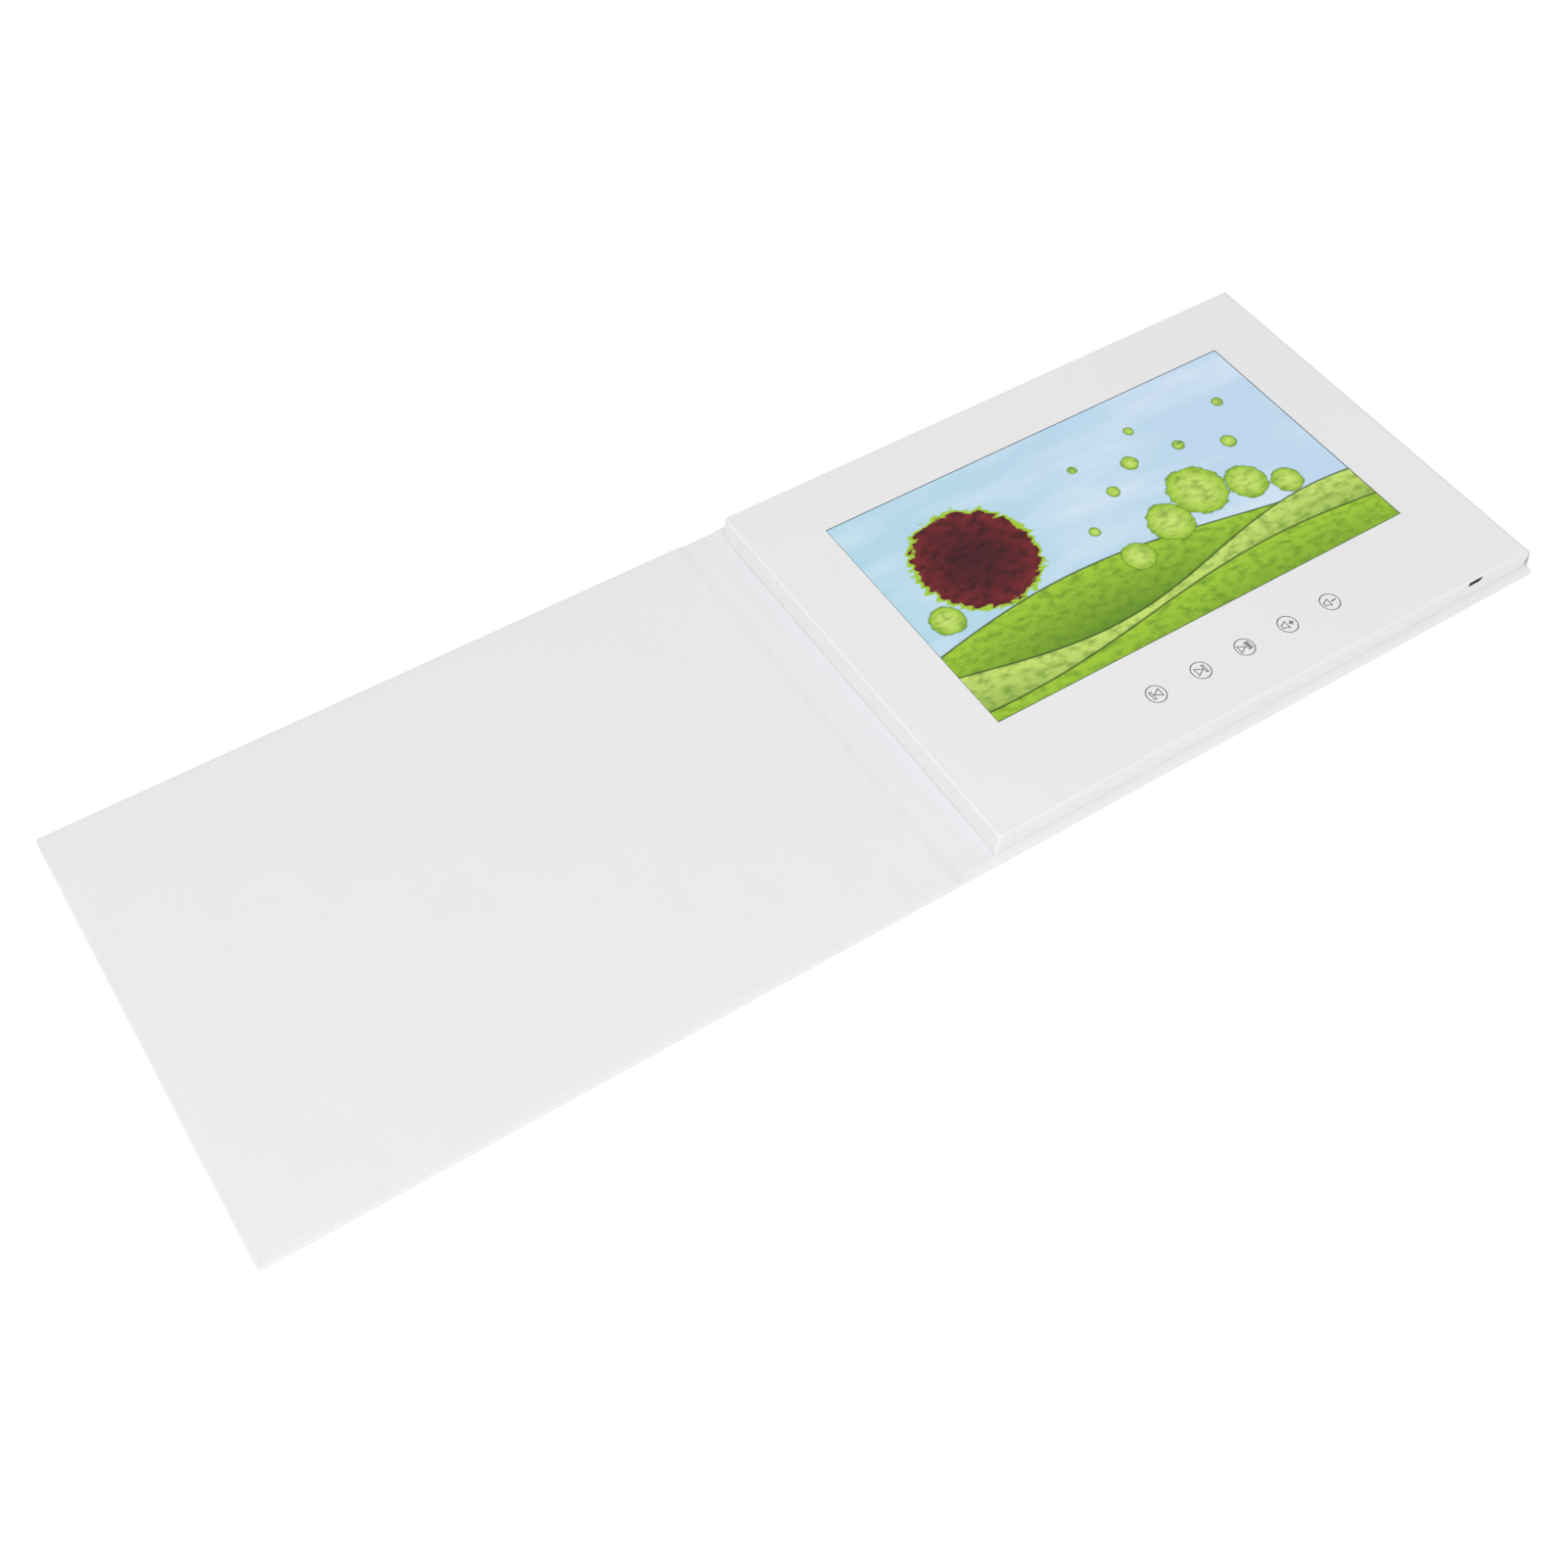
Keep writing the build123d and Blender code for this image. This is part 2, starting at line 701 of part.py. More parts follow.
battery_right = case_left + battery_x + battery_width / 2
lead_drop_y = plug_back + lead_straight + lead_bend + lead_spacing / 2
with BuildPart() as battery_leads:
    for side in (-1, 1):
        shift = side * lead_spacing / 2
        with BuildLine() as lead_path:
            FilletPolyline(
                (battery_plug_x + shift, plug_back, plug_lead_z),
                (battery_plug_x + shift, lead_drop_y + shift, plug_lead_z),
                (battery_plug_x + shift, lead_drop_y + shift, lead_z),
                (battery_plug_x + shift, case_front + battery_y + shift, lead_z),
                (battery_right, case_front + battery_y + shift, lead_z),
                radius=lead_bend,
            )
        with BuildSketch(Plane(origin=lead_path.line @ 0, z_dir=lead_path.line % 0)):
            Circle(lead_diameter / 2)
        sweep(path=lead_path.line)
keep(battery_leads.part, "battery_leads")

speaker_front = speaker_centre_y - speaker_height / 2
with BuildPart() as speaker_leads:
    for side in (-1, 1):
        shift = side * lead_spacing / 2
        with BuildLine() as lead_path:
            FilletPolyline(
                (speaker_x + shift, plug_back, plug_lead_z),
                (speaker_x + shift, lead_drop_y, plug_lead_z),
                (speaker_x + shift, lead_drop_y, lead_z),
                (speaker_x + shift, speaker_front, lead_z),
                radius=lead_bend,
            )
        with BuildSketch(Plane(origin=lead_path.line @ 0, z_dir=lead_path.line % 0)):
            Circle(lead_diameter / 2)
        sweep(path=lead_path.line)
keep(speaker_leads.part, "speaker_leads")

# Flat ribbon from the screen's driver board to a plug under the player board.
ribbon_left = board_left + ribbon_from_board_left
ribbon_front = board_back - ribbon_overlap
ribbon_bend = module_front + driver_board_inset
with BuildPart() as lcd_ribbon:
    with BuildSketch(Plane.XY.offset(driver_board_bottom - ribbon_thickness)):
        span(
            picture_x + driver_board_width / 2 - ribbon_overlap,
            ribbon_left + ribbon_width,
            ribbon_bend,
            ribbon_bend + ribbon_run,
        )
        span(ribbon_left, ribbon_left + ribbon_width, ribbon_front, ribbon_bend)
    extrude(amount=ribbon_thickness)
keep(lcd_ribbon.part, "lcd_ribbon")

with BuildPart() as lcd_plug:
    with BuildSketch(Plane.XY.offset(driver_board_bottom)):
        span(ribbon_left, ribbon_left + ribbon_width, ribbon_front, ribbon_front + ribbon_plug_depth)
    extrude(amount=board_bottom - driver_board_bottom)
keep(lcd_plug.part, "lcd_plug")

# ---------------------------------------------------------------- buttons
# Each printed disc has a stem that rests on the plunger of a dome switch.

stem_foot = face_underside - stem_length
switch_top = stem_foot - plunger_stand
switch_height = switch_top - board_top
plunger_bottom = board_top + switch_wall + dome_thickness + button_travel + plunger_fit

with BuildPart() as key_board:
    with BuildSketch(Plane.XY.offset(board_bottom)):
        with Locations(((key_board_left + key_board_right) / 2, button_y)):
            Rectangle(key_board_right - key_board_left, key_board_height)
    extrude(amount=board_thickness)
keep(key_board.part, "key_board")

with BuildPart() as key_pad:
    with BuildSketch(Plane.XY.offset(case_bottom)):
        with Locations(((key_board_left + key_board_right) / 2, button_y)):
            Rectangle(key_board_right - key_board_left - 2 * key_pad_inset, key_pad_height)
    extrude(amount=board_bottom - case_bottom)
keep(key_pad.part, "key_pad")

with BuildPart() as key_ribbon:
    with BuildSketch(Plane.XY.offset(board_bottom - ribbon_thickness)):
        span(
            key_board_right - key_ribbon_overlap,
            board_left + key_ribbon_overlap,
            button_y - key_ribbon_width / 2,
            button_y + key_ribbon_width / 2,
        )
    extrude(amount=ribbon_thickness)
keep(key_ribbon.part, "key_ribbon")

with BuildPart() as switch_bodies:
    with BuildSketch(Plane.XY.offset(board_top)):
        for x in button_xs:
            with Locations((x, button_y)):
                Rectangle(switch_size, switch_size)
    extrude(amount=switch_height)
    with BuildSketch(Plane.XY.offset(board_top + switch_wall)):
        for x in button_xs:
            with Locations((x, button_y)):
                Circle(dome_diameter / 2 + plunger_fit)
    extrude(amount=switch_height - 2 * switch_wall, mode=Mode.SUBTRACT)
    with BuildSketch(Plane.XY.offset(switch_top - switch_wall)):
        for x in button_xs:
            with Locations((x, button_y)):
                Circle(plunger_diameter / 2 + plunger_fit)
    extrude(amount=switch_wall, mode=Mode.SUBTRACT)
keep(switch_bodies.part, "switch_bodies")

with BuildPart() as switch_domes:
    with BuildSketch(Plane.XY.offset(board_top + switch_wall)):
        for x in button_xs:
            with Locations((x, button_y)):
                Circle(dome_diameter / 2)
    extrude(amount=dome_thickness)
keep(switch_domes.part, "switch_domes")

for button_name, x in zip(button_names, button_xs):
    with BuildPart() as plunger:
        with BuildSketch(Plane.XY.offset(plunger_bottom)):
            with Locations((x, button_y)):
                Circle(plunger_diameter / 2)
        extrude(amount=stem_foot - plunger_bottom)
    keep(plunger.part, f"plunger_{button_name}")

    with BuildPart() as button:
        with BuildSketch(Plane.XY.offset(face_underside)):
            with Locations((x, button_y)):
                Circle(button_diameter / 2)
        extrude(amount=case_top - face_underside)
        with BuildSketch(Plane.XY.offset(stem_foot)):
            with Locations((x, button_y)):
                Circle(stem_diameter / 2)
        extrude(amount=face_underside - stem_foot)
    keep(button.part, f"button_{button_name}")
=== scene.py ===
import math

import bmesh
import bpy
from mathutils import Matrix, Vector


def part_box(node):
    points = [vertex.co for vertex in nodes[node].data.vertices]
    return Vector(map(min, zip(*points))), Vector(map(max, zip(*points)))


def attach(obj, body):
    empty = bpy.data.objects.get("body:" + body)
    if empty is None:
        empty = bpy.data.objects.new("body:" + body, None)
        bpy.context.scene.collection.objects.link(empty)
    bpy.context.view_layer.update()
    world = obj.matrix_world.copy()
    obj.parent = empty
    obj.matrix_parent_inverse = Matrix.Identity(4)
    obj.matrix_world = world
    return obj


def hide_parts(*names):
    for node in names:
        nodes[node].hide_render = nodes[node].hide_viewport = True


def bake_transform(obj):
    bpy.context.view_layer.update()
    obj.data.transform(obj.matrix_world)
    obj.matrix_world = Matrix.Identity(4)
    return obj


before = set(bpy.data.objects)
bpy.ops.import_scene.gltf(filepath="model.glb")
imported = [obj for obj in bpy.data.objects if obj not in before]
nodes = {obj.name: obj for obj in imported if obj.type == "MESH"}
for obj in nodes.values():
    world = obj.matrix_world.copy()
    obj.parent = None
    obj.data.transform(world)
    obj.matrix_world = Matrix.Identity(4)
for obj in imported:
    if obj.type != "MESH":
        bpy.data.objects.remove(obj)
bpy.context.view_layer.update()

# ---------------------------------------------------------------- studio
# The brochure lies open on a white table under a wide, even light, and is seen from above its
# front left, as on a shop's product picture. The whole image is 1601 by 1601 pixels.

image_pixels = 1601
sensor = 36.0
focal_pixels = 2006.284
axis_pixel_x = 733.0
camera_place = Vector((-0.317421, -0.404168, 0.641467))
camera_right = Vector((0.845432, -0.533957, 0.011648))
camera_down = Vector((-0.425690, -0.686860, -0.589077))
camera_ahead = Vector((0.322543, 0.493066, -0.807993))

camera_data = bpy.data.cameras.new("camera")
camera_data.sensor_width = sensor
camera_data.lens = focal_pixels / image_pixels * sensor
camera_data.shift_x = (image_pixels / 2 - axis_pixel_x) / image_pixels
camera_data.clip_start = 0.01
camera = bpy.data.objects.new("camera", camera_data)
bpy.context.scene.collection.objects.link(camera)
camera_turn = Matrix((camera_right, -camera_down, -camera_ahead)).transposed()
camera.matrix_world = Matrix.Translation(camera_place) @ camera_turn.to_4x4()
bpy.context.scene.camera = camera
bpy.context.scene.view_settings.view_transform = "Standard"


def seen_directly(tree):
    """1 for rays that look at a surface straight, in a mirror or through glass."""
    path = tree.nodes.new("ShaderNodeLightPath")
    total = tree.nodes.new("ShaderNodeMath")
    total.operation = "MAXIMUM"
    tree.links.new(path.outputs["Is Camera Ray"], total.inputs[0])
    mirrored = tree.nodes.new("ShaderNodeMath")
    mirrored.operation = "MAXIMUM"
    tree.links.new(path.outputs["Is Glossy Ray"], mirrored.inputs[0])
    tree.links.new(path.outputs["Is Transmission Ray"], mirrored.inputs[1])
    tree.links.new(mirrored.outputs[0], total.inputs[1])
    return total.outputs[0]


sky_light = 0.577
world = bpy.data.worlds.new("studio")
world.use_nodes = True
bpy.context.scene.world = world
sky = world.node_tree
sky.nodes.clear()
soft = sky.nodes.new("ShaderNodeBackground")
soft.inputs["Color"].default_value = (1.0, 1.0, 1.0, 1.0)
soft.inputs["Strength"].default_value = sky_light
white = sky.nodes.new("ShaderNodeBackground")
white.inputs["Color"].default_value = (1.0, 1.0, 1.0, 1.0)
white.inputs["Strength"].default_value = 1.0
choose = sky.nodes.new("ShaderNodeMixShader")
sky.links.new(seen_directly(sky), choose.inputs["Fac"])
sky.links.new(soft.outputs[0], choose.inputs[1])
sky.links.new(white.outputs[0], choose.inputs[2])
sky.links.new(choose.outputs[0], sky.nodes.new("ShaderNodeOutputWorld").inputs["Surface"])

table_half = 6.0
table_drop = 0.0003
table_mesh = bpy.data.meshes.new("table_top")
table_mesh.from_pydata(
    [(x, y, -table_drop) for x in (-table_half, table_half) for y in (-table_half, table_half)],
    [],
    [(0, 2, 3, 1)],
)
table_top = bpy.data.objects.new("table_top", table_mesh)
bpy.context.scene.collection.objects.link(table_top)
table_white = bpy.data.materials.new("table_white")
table_white.use_nodes = True
tree = table_white.node_tree
tree.nodes.clear()
lit = tree.nodes.new("ShaderNodeBsdfDiffuse")
lit.inputs["Color"].default_value = (0.86, 0.86, 0.86, 1.0)
glow = tree.nodes.new("ShaderNodeEmission")
glow.inputs["Color"].default_value = (1.0, 1.0, 1.0, 1.0)
glow.inputs["Strength"].default_value = 0.34
both = tree.nodes.new("ShaderNodeAddShader")
tree.links.new(lit.outputs[0], both.inputs[0])
tree.links.new(glow.outputs[0], both.inputs[1])
choose = tree.nodes.new("ShaderNodeMixShader")
tree.links.new(seen_directly(tree), choose.inputs["Fac"])
tree.links.new(lit.outputs[0], choose.inputs[1])
tree.links.new(both.outputs[0], choose.inputs[2])
tree.links.new(choose.outputs[0], tree.nodes.new("ShaderNodeOutputMaterial").inputs["Surface"])
table_mesh.materials.append(table_white)


def softbox(name, place, target, width, height, power):
    """A soft lamp of that size that faces the target."""
    lamp = bpy.data.lights.new(name, "AREA")
    lamp.shape = "RECTANGLE"
    lamp.size = width
    lamp.size_y = height
    lamp.energy = power
    holder = bpy.data.objects.new(name, lamp)
    bpy.context.scene.collection.objects.link(holder)
    holder.location = place
    holder.rotation_euler = (Vector(target) - Vector(place)).to_track_quat("-Z", "Y").to_euler()


softbox("key_softbox", (-0.9, -1.6, 1.6), (0.0, 0.0, 0.0), 1.8, 1.2, 26.2)
softbox("side_softbox", (-2.8, 0.2, 0.95), (0.0, 0.0, 0.0), 1.6, 1.6, 11.6)
softbox("top_softbox", (0.4, 0.6, 2.2), (0.0, 0.0, 0.0), 2.0, 2.0, 6.5)

# ---------------------------------------------------------------- cover paper of the lid
# White laminated paper, glued under the lid board and the spine, folded up over the free edges
# and turned in 15 mm on the inner face, with a mitred fold at each corner. It bends at the groove.

mm = 0.001
paper = 0.2
rim_top = 2.2
spine_top = 1.5
wall_foot = 1.95
lid_left = -304.85
case_left = 12.35
case_right = 300.35
base_right = 304.85
half_depth = 104.6
case_front = -100.7
case_back = 99.3
turn_in = 15.0
paper_edge_radius = 0.62
lid_corner_radius = 1.4
base_corner_radius = 0.85
rim_drop = 0.22
rim_width = 4.0
lid_rim_rise = 0.0
base_rim_rise = 0.12
mitre_depth = 0.10
mitre_half_width = 0.16
mitre_reach = 9.0
groove_press = 0.22
straight_start = turn_in + 1.5


def ease(x, start, end):
    """0 before start, 1 after end, and a smooth rise between them."""
    t = min(1.0, max(0.0, (x - start) / (end - start)))
    return t * t * (3.0 - 2.0 * t)


def cover_height(x):
    """Height of the paper's inner side across the open cover: lid, groove, spine, groove, base."""
    height = rim_top
    height += (spine_top - rim_top) * ease(x, -10.2, -4.0)
    height += (wall_foot - spine_top) * ease(x, 8.4, 11.8)
    height += (rim_top - wall_foot) * ease(x, 11.9, 12.9)
    return height


def joint_press(x):
    """How far the outer paper is pressed up into the two grooves."""
    rise = ease(x, -9.0, -8.2) * (1 - ease(x, -5.9, -5.0))
    rise += ease(x, 8.6, 9.2) * (1 - ease(x, 11.6, 12.3))
    return groove_press * rise


corner_turns = 4
long_stops = 12
arc_steps = 4
strip_insets = (1.4, 2.5, 4.0, 9.0, turn_in)


def rail(edge_x, open_x, steps, radius):
    """The free outline of a sheet, from its open end along the front, round the far edge and
    back: each stop is a point, its direction inwards and its place in the corner's turn."""
    side = 1 if edge_x > open_x else -1
    stops = [(x, -half_depth, 0.0, 1.0, None) for x in steps]
    centre_x = edge_x - side * radius
    centre_y = radius - half_depth
    for i in range(corner_turns + 1):
        turn = math.pi / 2 * i / corner_turns
        out_x, out_y = side * math.sin(turn), -math.cos(turn)
        stops.append((
            centre_x + radius * out_x, centre_y + radius * out_y,
            -out_x, -out_y, i - corner_turns // 2,
        ))
    long_start = straight_start - half_depth
    for i in range(long_stops):
        stops.append((edge_x, long_start * (1 - i / long_stops), -side, 0.0, None))
    back = [(x, -y, nx, -ny, c) for x, y, nx, ny, c in reversed(stops)]
    return stops + [(edge_x, 0.0, -side, 0.0, None)] + back


def sheet_row(stops, edge_x, side, radius, rise, k, depth, top_at, bottom_at):
    """One line of points round the edge: k counts from the underside over the rounded edge to
    the end of the turned-in strip; depth 0 is the paper's outer side."""
    row = []
    for x, y, nx, ny, corner in stops:
        top, bottom = top_at(x), bottom_at(x)
        edge = min(paper_edge_radius, (top - bottom) * 0.46)
        drop = rim_drop * ny * ny
        edge_top = top - drop * (1 - edge / rim_width) ** 2
        if k <= arc_steps:
            turn = math.pi / 2 * k / arc_steps
            inset = edge - (edge - depth) * math.sin(turn)
            z = bottom + edge - (edge - depth) * math.cos(turn)
        elif k <= 2 * arc_steps + 1:
            turn = math.pi / 2 * (k - arc_steps - 1) / arc_steps
            inset = edge - (edge - depth) * math.cos(turn)
            z = edge_top - edge + (edge - depth) * math.sin(turn)
        else:
            inset = strip_insets[k - 2 * arc_steps - 2]
            z = top - depth - drop * max(0.0, 1 - inset / rim_width) ** 2
            if inset <= rim_width:
                z += rise * inset / rim_width
        if corner is not None and inset > radius:
            px = edge_x - side * inset
            py = math.copysign(half_depth - inset, y)
            along = mitre_half_width * abs(corner)
            if corner < 0:
                px -= side * along
            else:
                py -= math.copysign(along, y)
            if corner == 0:
                z -= mitre_depth * (1 - ease(inset, mitre_reach * 0.6, mitre_reach))
        else:
            px, py = x + inset * nx, y + inset * ny
        row.append((px * mm, py * mm, z * mm))
    return row


def cover_sheet(name, edge_x, open_x, steps, radius, rise):
    """The paper round one board, closed: its outer side, and back along its inner side."""
    side = 1 if edge_x > open_x else -1
    stops = rail(edge_x, open_x, steps, radius)
    last = 2 * arc_steps + 1 + len(strip_insets)
    mesh = bmesh.new()
    rows = []
    for depth, order in ((0.0, range(last + 1)), (paper, range(last, -1, -1))):
        for k in order:
            points = sheet_row(
                stops, edge_x, side, radius, rise, k, depth, cover_height, joint_press
            )
            rows.append([mesh.verts.new(p) for p in points])
    count = len(stops)
    for low, high in zip(rows, rows[1:]):
        for i in range(count - 1):
            mesh.faces.new((low[i], low[i + 1], high[i + 1], high[i]))
    first = len(steps) - 1
    for under in (rows[0], rows[-1]):
        for i in range(first):
            mesh.faces.new((under[i], under[count - 1 - i], under[count - 2 - i], under[i + 1]))
        mesh.faces.new(under[first:count - first])
    for i in (0, count - 1):
        for k in range(last):
            mesh.faces.new((rows[k][i], rows[k + 1][i], rows[-2 - k][i], rows[-1 - k][i]))
    mesh.faces.new((rows[0][0], rows[0][-1], rows[-1][-1], rows[-1][0]))
    bmesh.ops.recalc_face_normals(mesh, faces=mesh.faces)
    return finish_mesh(name, mesh)


def board_block(name, edge_x, end_x, radius, rise):
    """The board inside the paper, with the strips' shallow step along its top edges."""
    side = 1 if edge_x > end_x else -1
    stops = rail(edge_x, end_x, [end_x, end_x + side * 40.0, edge_x - side * 20.0], radius)
    last = 2 * arc_steps + 1 + len(strip_insets)
    mesh = bmesh.new()
    rows = []
    for k in range(last + 1):
        points = sheet_row(
            stops, edge_x, side, radius, rise, k, paper, lambda x: rim_top, lambda x: 0.0
        )
        rows.append([mesh.verts.new(p) for p in points])
    rows.append([mesh.verts.new((v.co.x, v.co.y, rim_top * mm)) for v in rows[-1]])
    count = len(stops)
    for low, high in zip(rows, rows[1:]):
        for i in range(count - 1):
            mesh.faces.new((low[i], low[i + 1], high[i + 1], high[i]))
    mesh.faces.new(rows[0])
    mesh.faces.new(rows[-1][::-1])
    mesh.faces.new([row[0] for row in rows] + [row[-1] for row in reversed(rows)])
    bmesh.ops.recalc_face_normals(mesh, faces=mesh.faces)
    return finish_mesh(name, mesh)


def finish_mesh(name, mesh, smooth_angle=35):
    """Turns the bmesh into an object in the scene, smooth below the angle."""
    data = bpy.data.meshes.new(name)
    mesh.to_mesh(data)
    mesh.free()
    data.polygons.foreach_set("use_smooth", [True] * len(data.polygons))
    data.set_sharp_from_angle(angle=math.radians(smooth_angle))
    piece = bpy.data.objects.new(name, data)
    bpy.context.scene.collection.objects.link(piece)
    return piece


def thicken(piece, thickness, offset=-1.0):
    """Gives a sheet its real thickness, to the inside of its faces, and settles it in the mesh."""
    solid = piece.modifiers.new("thickness", "SOLIDIFY")
    solid.thickness = thickness * mm
    solid.offset = offset
    solid.use_even_offset = False
    settle(piece)


def settle(piece):
    """Applies the piece's modifiers to its mesh."""
    seen = piece.evaluated_get(bpy.context.evaluated_depsgraph_get())
    data = bpy.data.meshes.new_from_object(seen)
    data.name = piece.name
    data.set_sharp_from_angle(angle=math.radians(35))
    piece.modifiers.clear()
    piece.data = data


def socket(group, name, kind, way, value=None):
    """Adds a named input or output to a node group."""
    made = group.interface.new_socket(name=name, in_out=way, socket_type=kind)
    if value is not None:
        made.default_value = value


# The fine surface of paper and board: soft mottling, short fibres and a little unevenness.
paper_grain = bpy.data.node_groups.new("paper_grain", "ShaderNodeTree")
socket(paper_grain, "Light", "NodeSocketColor", "INPUT")
socket(paper_grain, "Shade", "NodeSocketColor", "INPUT")
socket(paper_grain, "Fibres", "NodeSocketFloat", "INPUT", 2600.0)
socket(paper_grain, "Mottle", "NodeSocketFloat", "INPUT", 45.0)
socket(paper_grain, "Smoothest", "NodeSocketFloat", "INPUT", 0.4)
socket(paper_grain, "Roughest", "NodeSocketFloat", "INPUT", 0.5)
socket(paper_grain, "Colour", "NodeSocketColor", "OUTPUT")
socket(paper_grain, "Roughness", "NodeSocketFloat", "OUTPUT")
socket(paper_grain, "Height", "NodeSocketFloat", "OUTPUT")
g = paper_grain.nodes
wire = paper_grain.links.new
given = g.new("NodeGroupInput")
result = g.new("NodeGroupOutput")
place = g.new("ShaderNodeTexCoord")
stretched = g.new("ShaderNodeMapping")
stretched.inputs["Scale"].default_value = (1.0, 0.35, 1.0)
wire(place.outputs["Object"], stretched.inputs["Vector"])
fibres = g.new("ShaderNodeTexNoise")
fibres.inputs["Detail"].default_value = 3.0
wire(stretched.outputs["Vector"], fibres.inputs["Vector"])
wire(given.outputs["Fibres"], fibres.inputs["Scale"])
mottle = g.new("ShaderNodeTexNoise")
mottle.inputs["Detail"].default_value = 2.0
wire(place.outputs["Object"], mottle.inputs["Vector"])
wire(given.outputs["Mottle"], mottle.inputs["Scale"])
share = g.new("ShaderNodeMath")
share.operation = "MULTIPLY_ADD"
wire(fibres.outputs["Fac"], share.inputs[0])
share.inputs[1].default_value = 0.5
halved = g.new("ShaderNodeMath")
halved.operation = "MULTIPLY"
wire(mottle.outputs["Fac"], halved.inputs[0])
halved.inputs[1].default_value = 0.5
wire(halved.outputs[0], share.inputs[2])
spread = g.new("ShaderNodeMapRange")
spread.inputs["From Min"].default_value = 0.35
spread.inputs["From Max"].default_value = 0.65
wire(share.outputs[0], spread.inputs["Value"])
tint = g.new("ShaderNodeMix")
tint.data_type = "RGBA"
wire(spread.outputs["Result"], tint.inputs["Factor"])
wire(given.outputs["Shade"], tint.inputs["A"])
wire(given.outputs["Light"], tint.inputs["B"])
wire(tint.outputs["Result"], result.inputs["Colour"])
gloss = g.new("ShaderNodeMapRange")
wire(mottle.outputs["Fac"], gloss.inputs["Value"])
wire(given.outputs["Smoothest"], gloss.inputs["To Min"])
wire(given.outputs["Roughest"], gloss.inputs["To Max"])
wire(gloss.outputs["Result"], result.inputs["Roughness"])
wire(share.outputs[0], result.inputs["Height"])


def grained(name, group, light, shade, relief, values, metallic=0.0, specular=0.5):
    """A material whose colour, roughness and relief come from a grain group."""
    made = bpy.data.materials.new(name)
    made.use_nodes = True
    tree = made.node_tree
    shader = tree.nodes["Principled BSDF"]
    shader.inputs["Metallic"].default_value = metallic
    shader.inputs["Specular IOR Level"].default_value = specular
    grain = tree.nodes.new("ShaderNodeGroup")
    grain.node_tree = group
    grain.inputs["Light"].default_value = (*light, 1.0)
    grain.inputs["Shade"].default_value = (*shade, 1.0)
    for key, value in values.items():
        grain.inputs[key].default_value = value
    bump = tree.nodes.new("ShaderNodeBump")
    bump.inputs["Strength"].default_value = 1.0
    bump.inputs["Distance"].default_value = relief * mm
    tree.links.new(grain.outputs["Colour"], shader.inputs["Base Color"])
    tree.links.new(grain.outputs["Roughness"], shader.inputs["Roughness"])
    tree.links.new(grain.outputs["Height"], bump.inputs["Height"])
    tree.links.new(bump.outputs["Normal"], shader.inputs["Normal"])
    return made


def wear(material, *pieces):
    """Gives these pieces that material alone."""
    for piece in pieces:
        piece.data.materials.clear()
        piece.data.materials.append(material)


cover_white = grained(
    "cover_white", paper_grain, (0.827, 0.824, 0.838), (0.817, 0.814, 0.828), 0.012,
    {"Smoothest": 0.42, "Roughest": 0.52}, specular=0.35,
)

groove_steps = [0.0, -2.0, -4.0, -4.6, -5.0, -5.3, -5.6, -5.9, -6.3, -6.7, -7.1, -7.5, -7.9, -8.2,
                -8.4, -8.6, -8.75, -8.9, -9.05, -9.25, -9.5, -9.75, -10.2, -12.0]
lid_steps = groove_steps + [-12.0 - 13.8 * i for i in range(1, 21)]
lid_paper = cover_sheet(
    "lid_cover_paper", lid_left, 0.0, lid_steps, lid_corner_radius, lid_rim_rise
)
wear(cover_white, lid_paper)
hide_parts("lid_wrap")
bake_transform(lid_paper)

# ---------------------------------------------------------------- cover paper of the base
# The same sheet goes on from the spine's middle under the base board, bends at the second
# groove, and is folded over the base's three free edges. Its rim shows round the box.

base_steps = [0.0, 4.0, 7.0, 7.8, 8.0, 8.2, 8.45, 8.6, 8.75, 8.9, 9.05, 9.2, 9.5, 9.9, 10.3, 10.7,
              11.1, 11.5, 11.9, 12.3, 12.6, 13.0, 14.0]
base_steps += [14.0 + 13.7 * i for i in range(1, 21)]
base_paper = cover_sheet(
    "base_cover_paper", base_right, 0.0, base_steps, base_corner_radius, base_rim_rise
)
wear(cover_white, base_paper)
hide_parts("base_wrap", "spine_wrap")
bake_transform(base_paper)

# ---------------------------------------------------------------- liners
# A white paper sheet glued over the lid and the spine hides the turned-in strips. It is pressed
# into the groove, and its last part lies under the box.

liner_margin = 3.6
liner_margin_lid_edge = 5.6
liner_bend_steps = [s for s in groove_steps if s > -12.0]


def liner_sheet(name, steps, ends):
    """A sheet that follows the cover's inner side over these steps along X."""
    across = [-half_depth + liner_margin + (2 * half_depth - 2 * liner_margin) * i / ends
              for i in range(ends + 1)]
    mesh = bmesh.new()
    rows = []
    for x in steps:
        z = cover_height(x) + paper
        rows.append([mesh.verts.new((x * mm, y * mm, z * mm)) for y in across])
    for low, high in zip(rows, rows[1:]):
        for i in range(ends):
            mesh.faces.new((low[i], low[i + 1], high[i + 1], high[i]))
    mesh.normal_update()
    if mesh.faces[:][0].normal.z < 0:
        bmesh.ops.reverse_faces(mesh, faces=mesh.faces)
    return finish_mesh(name, mesh)


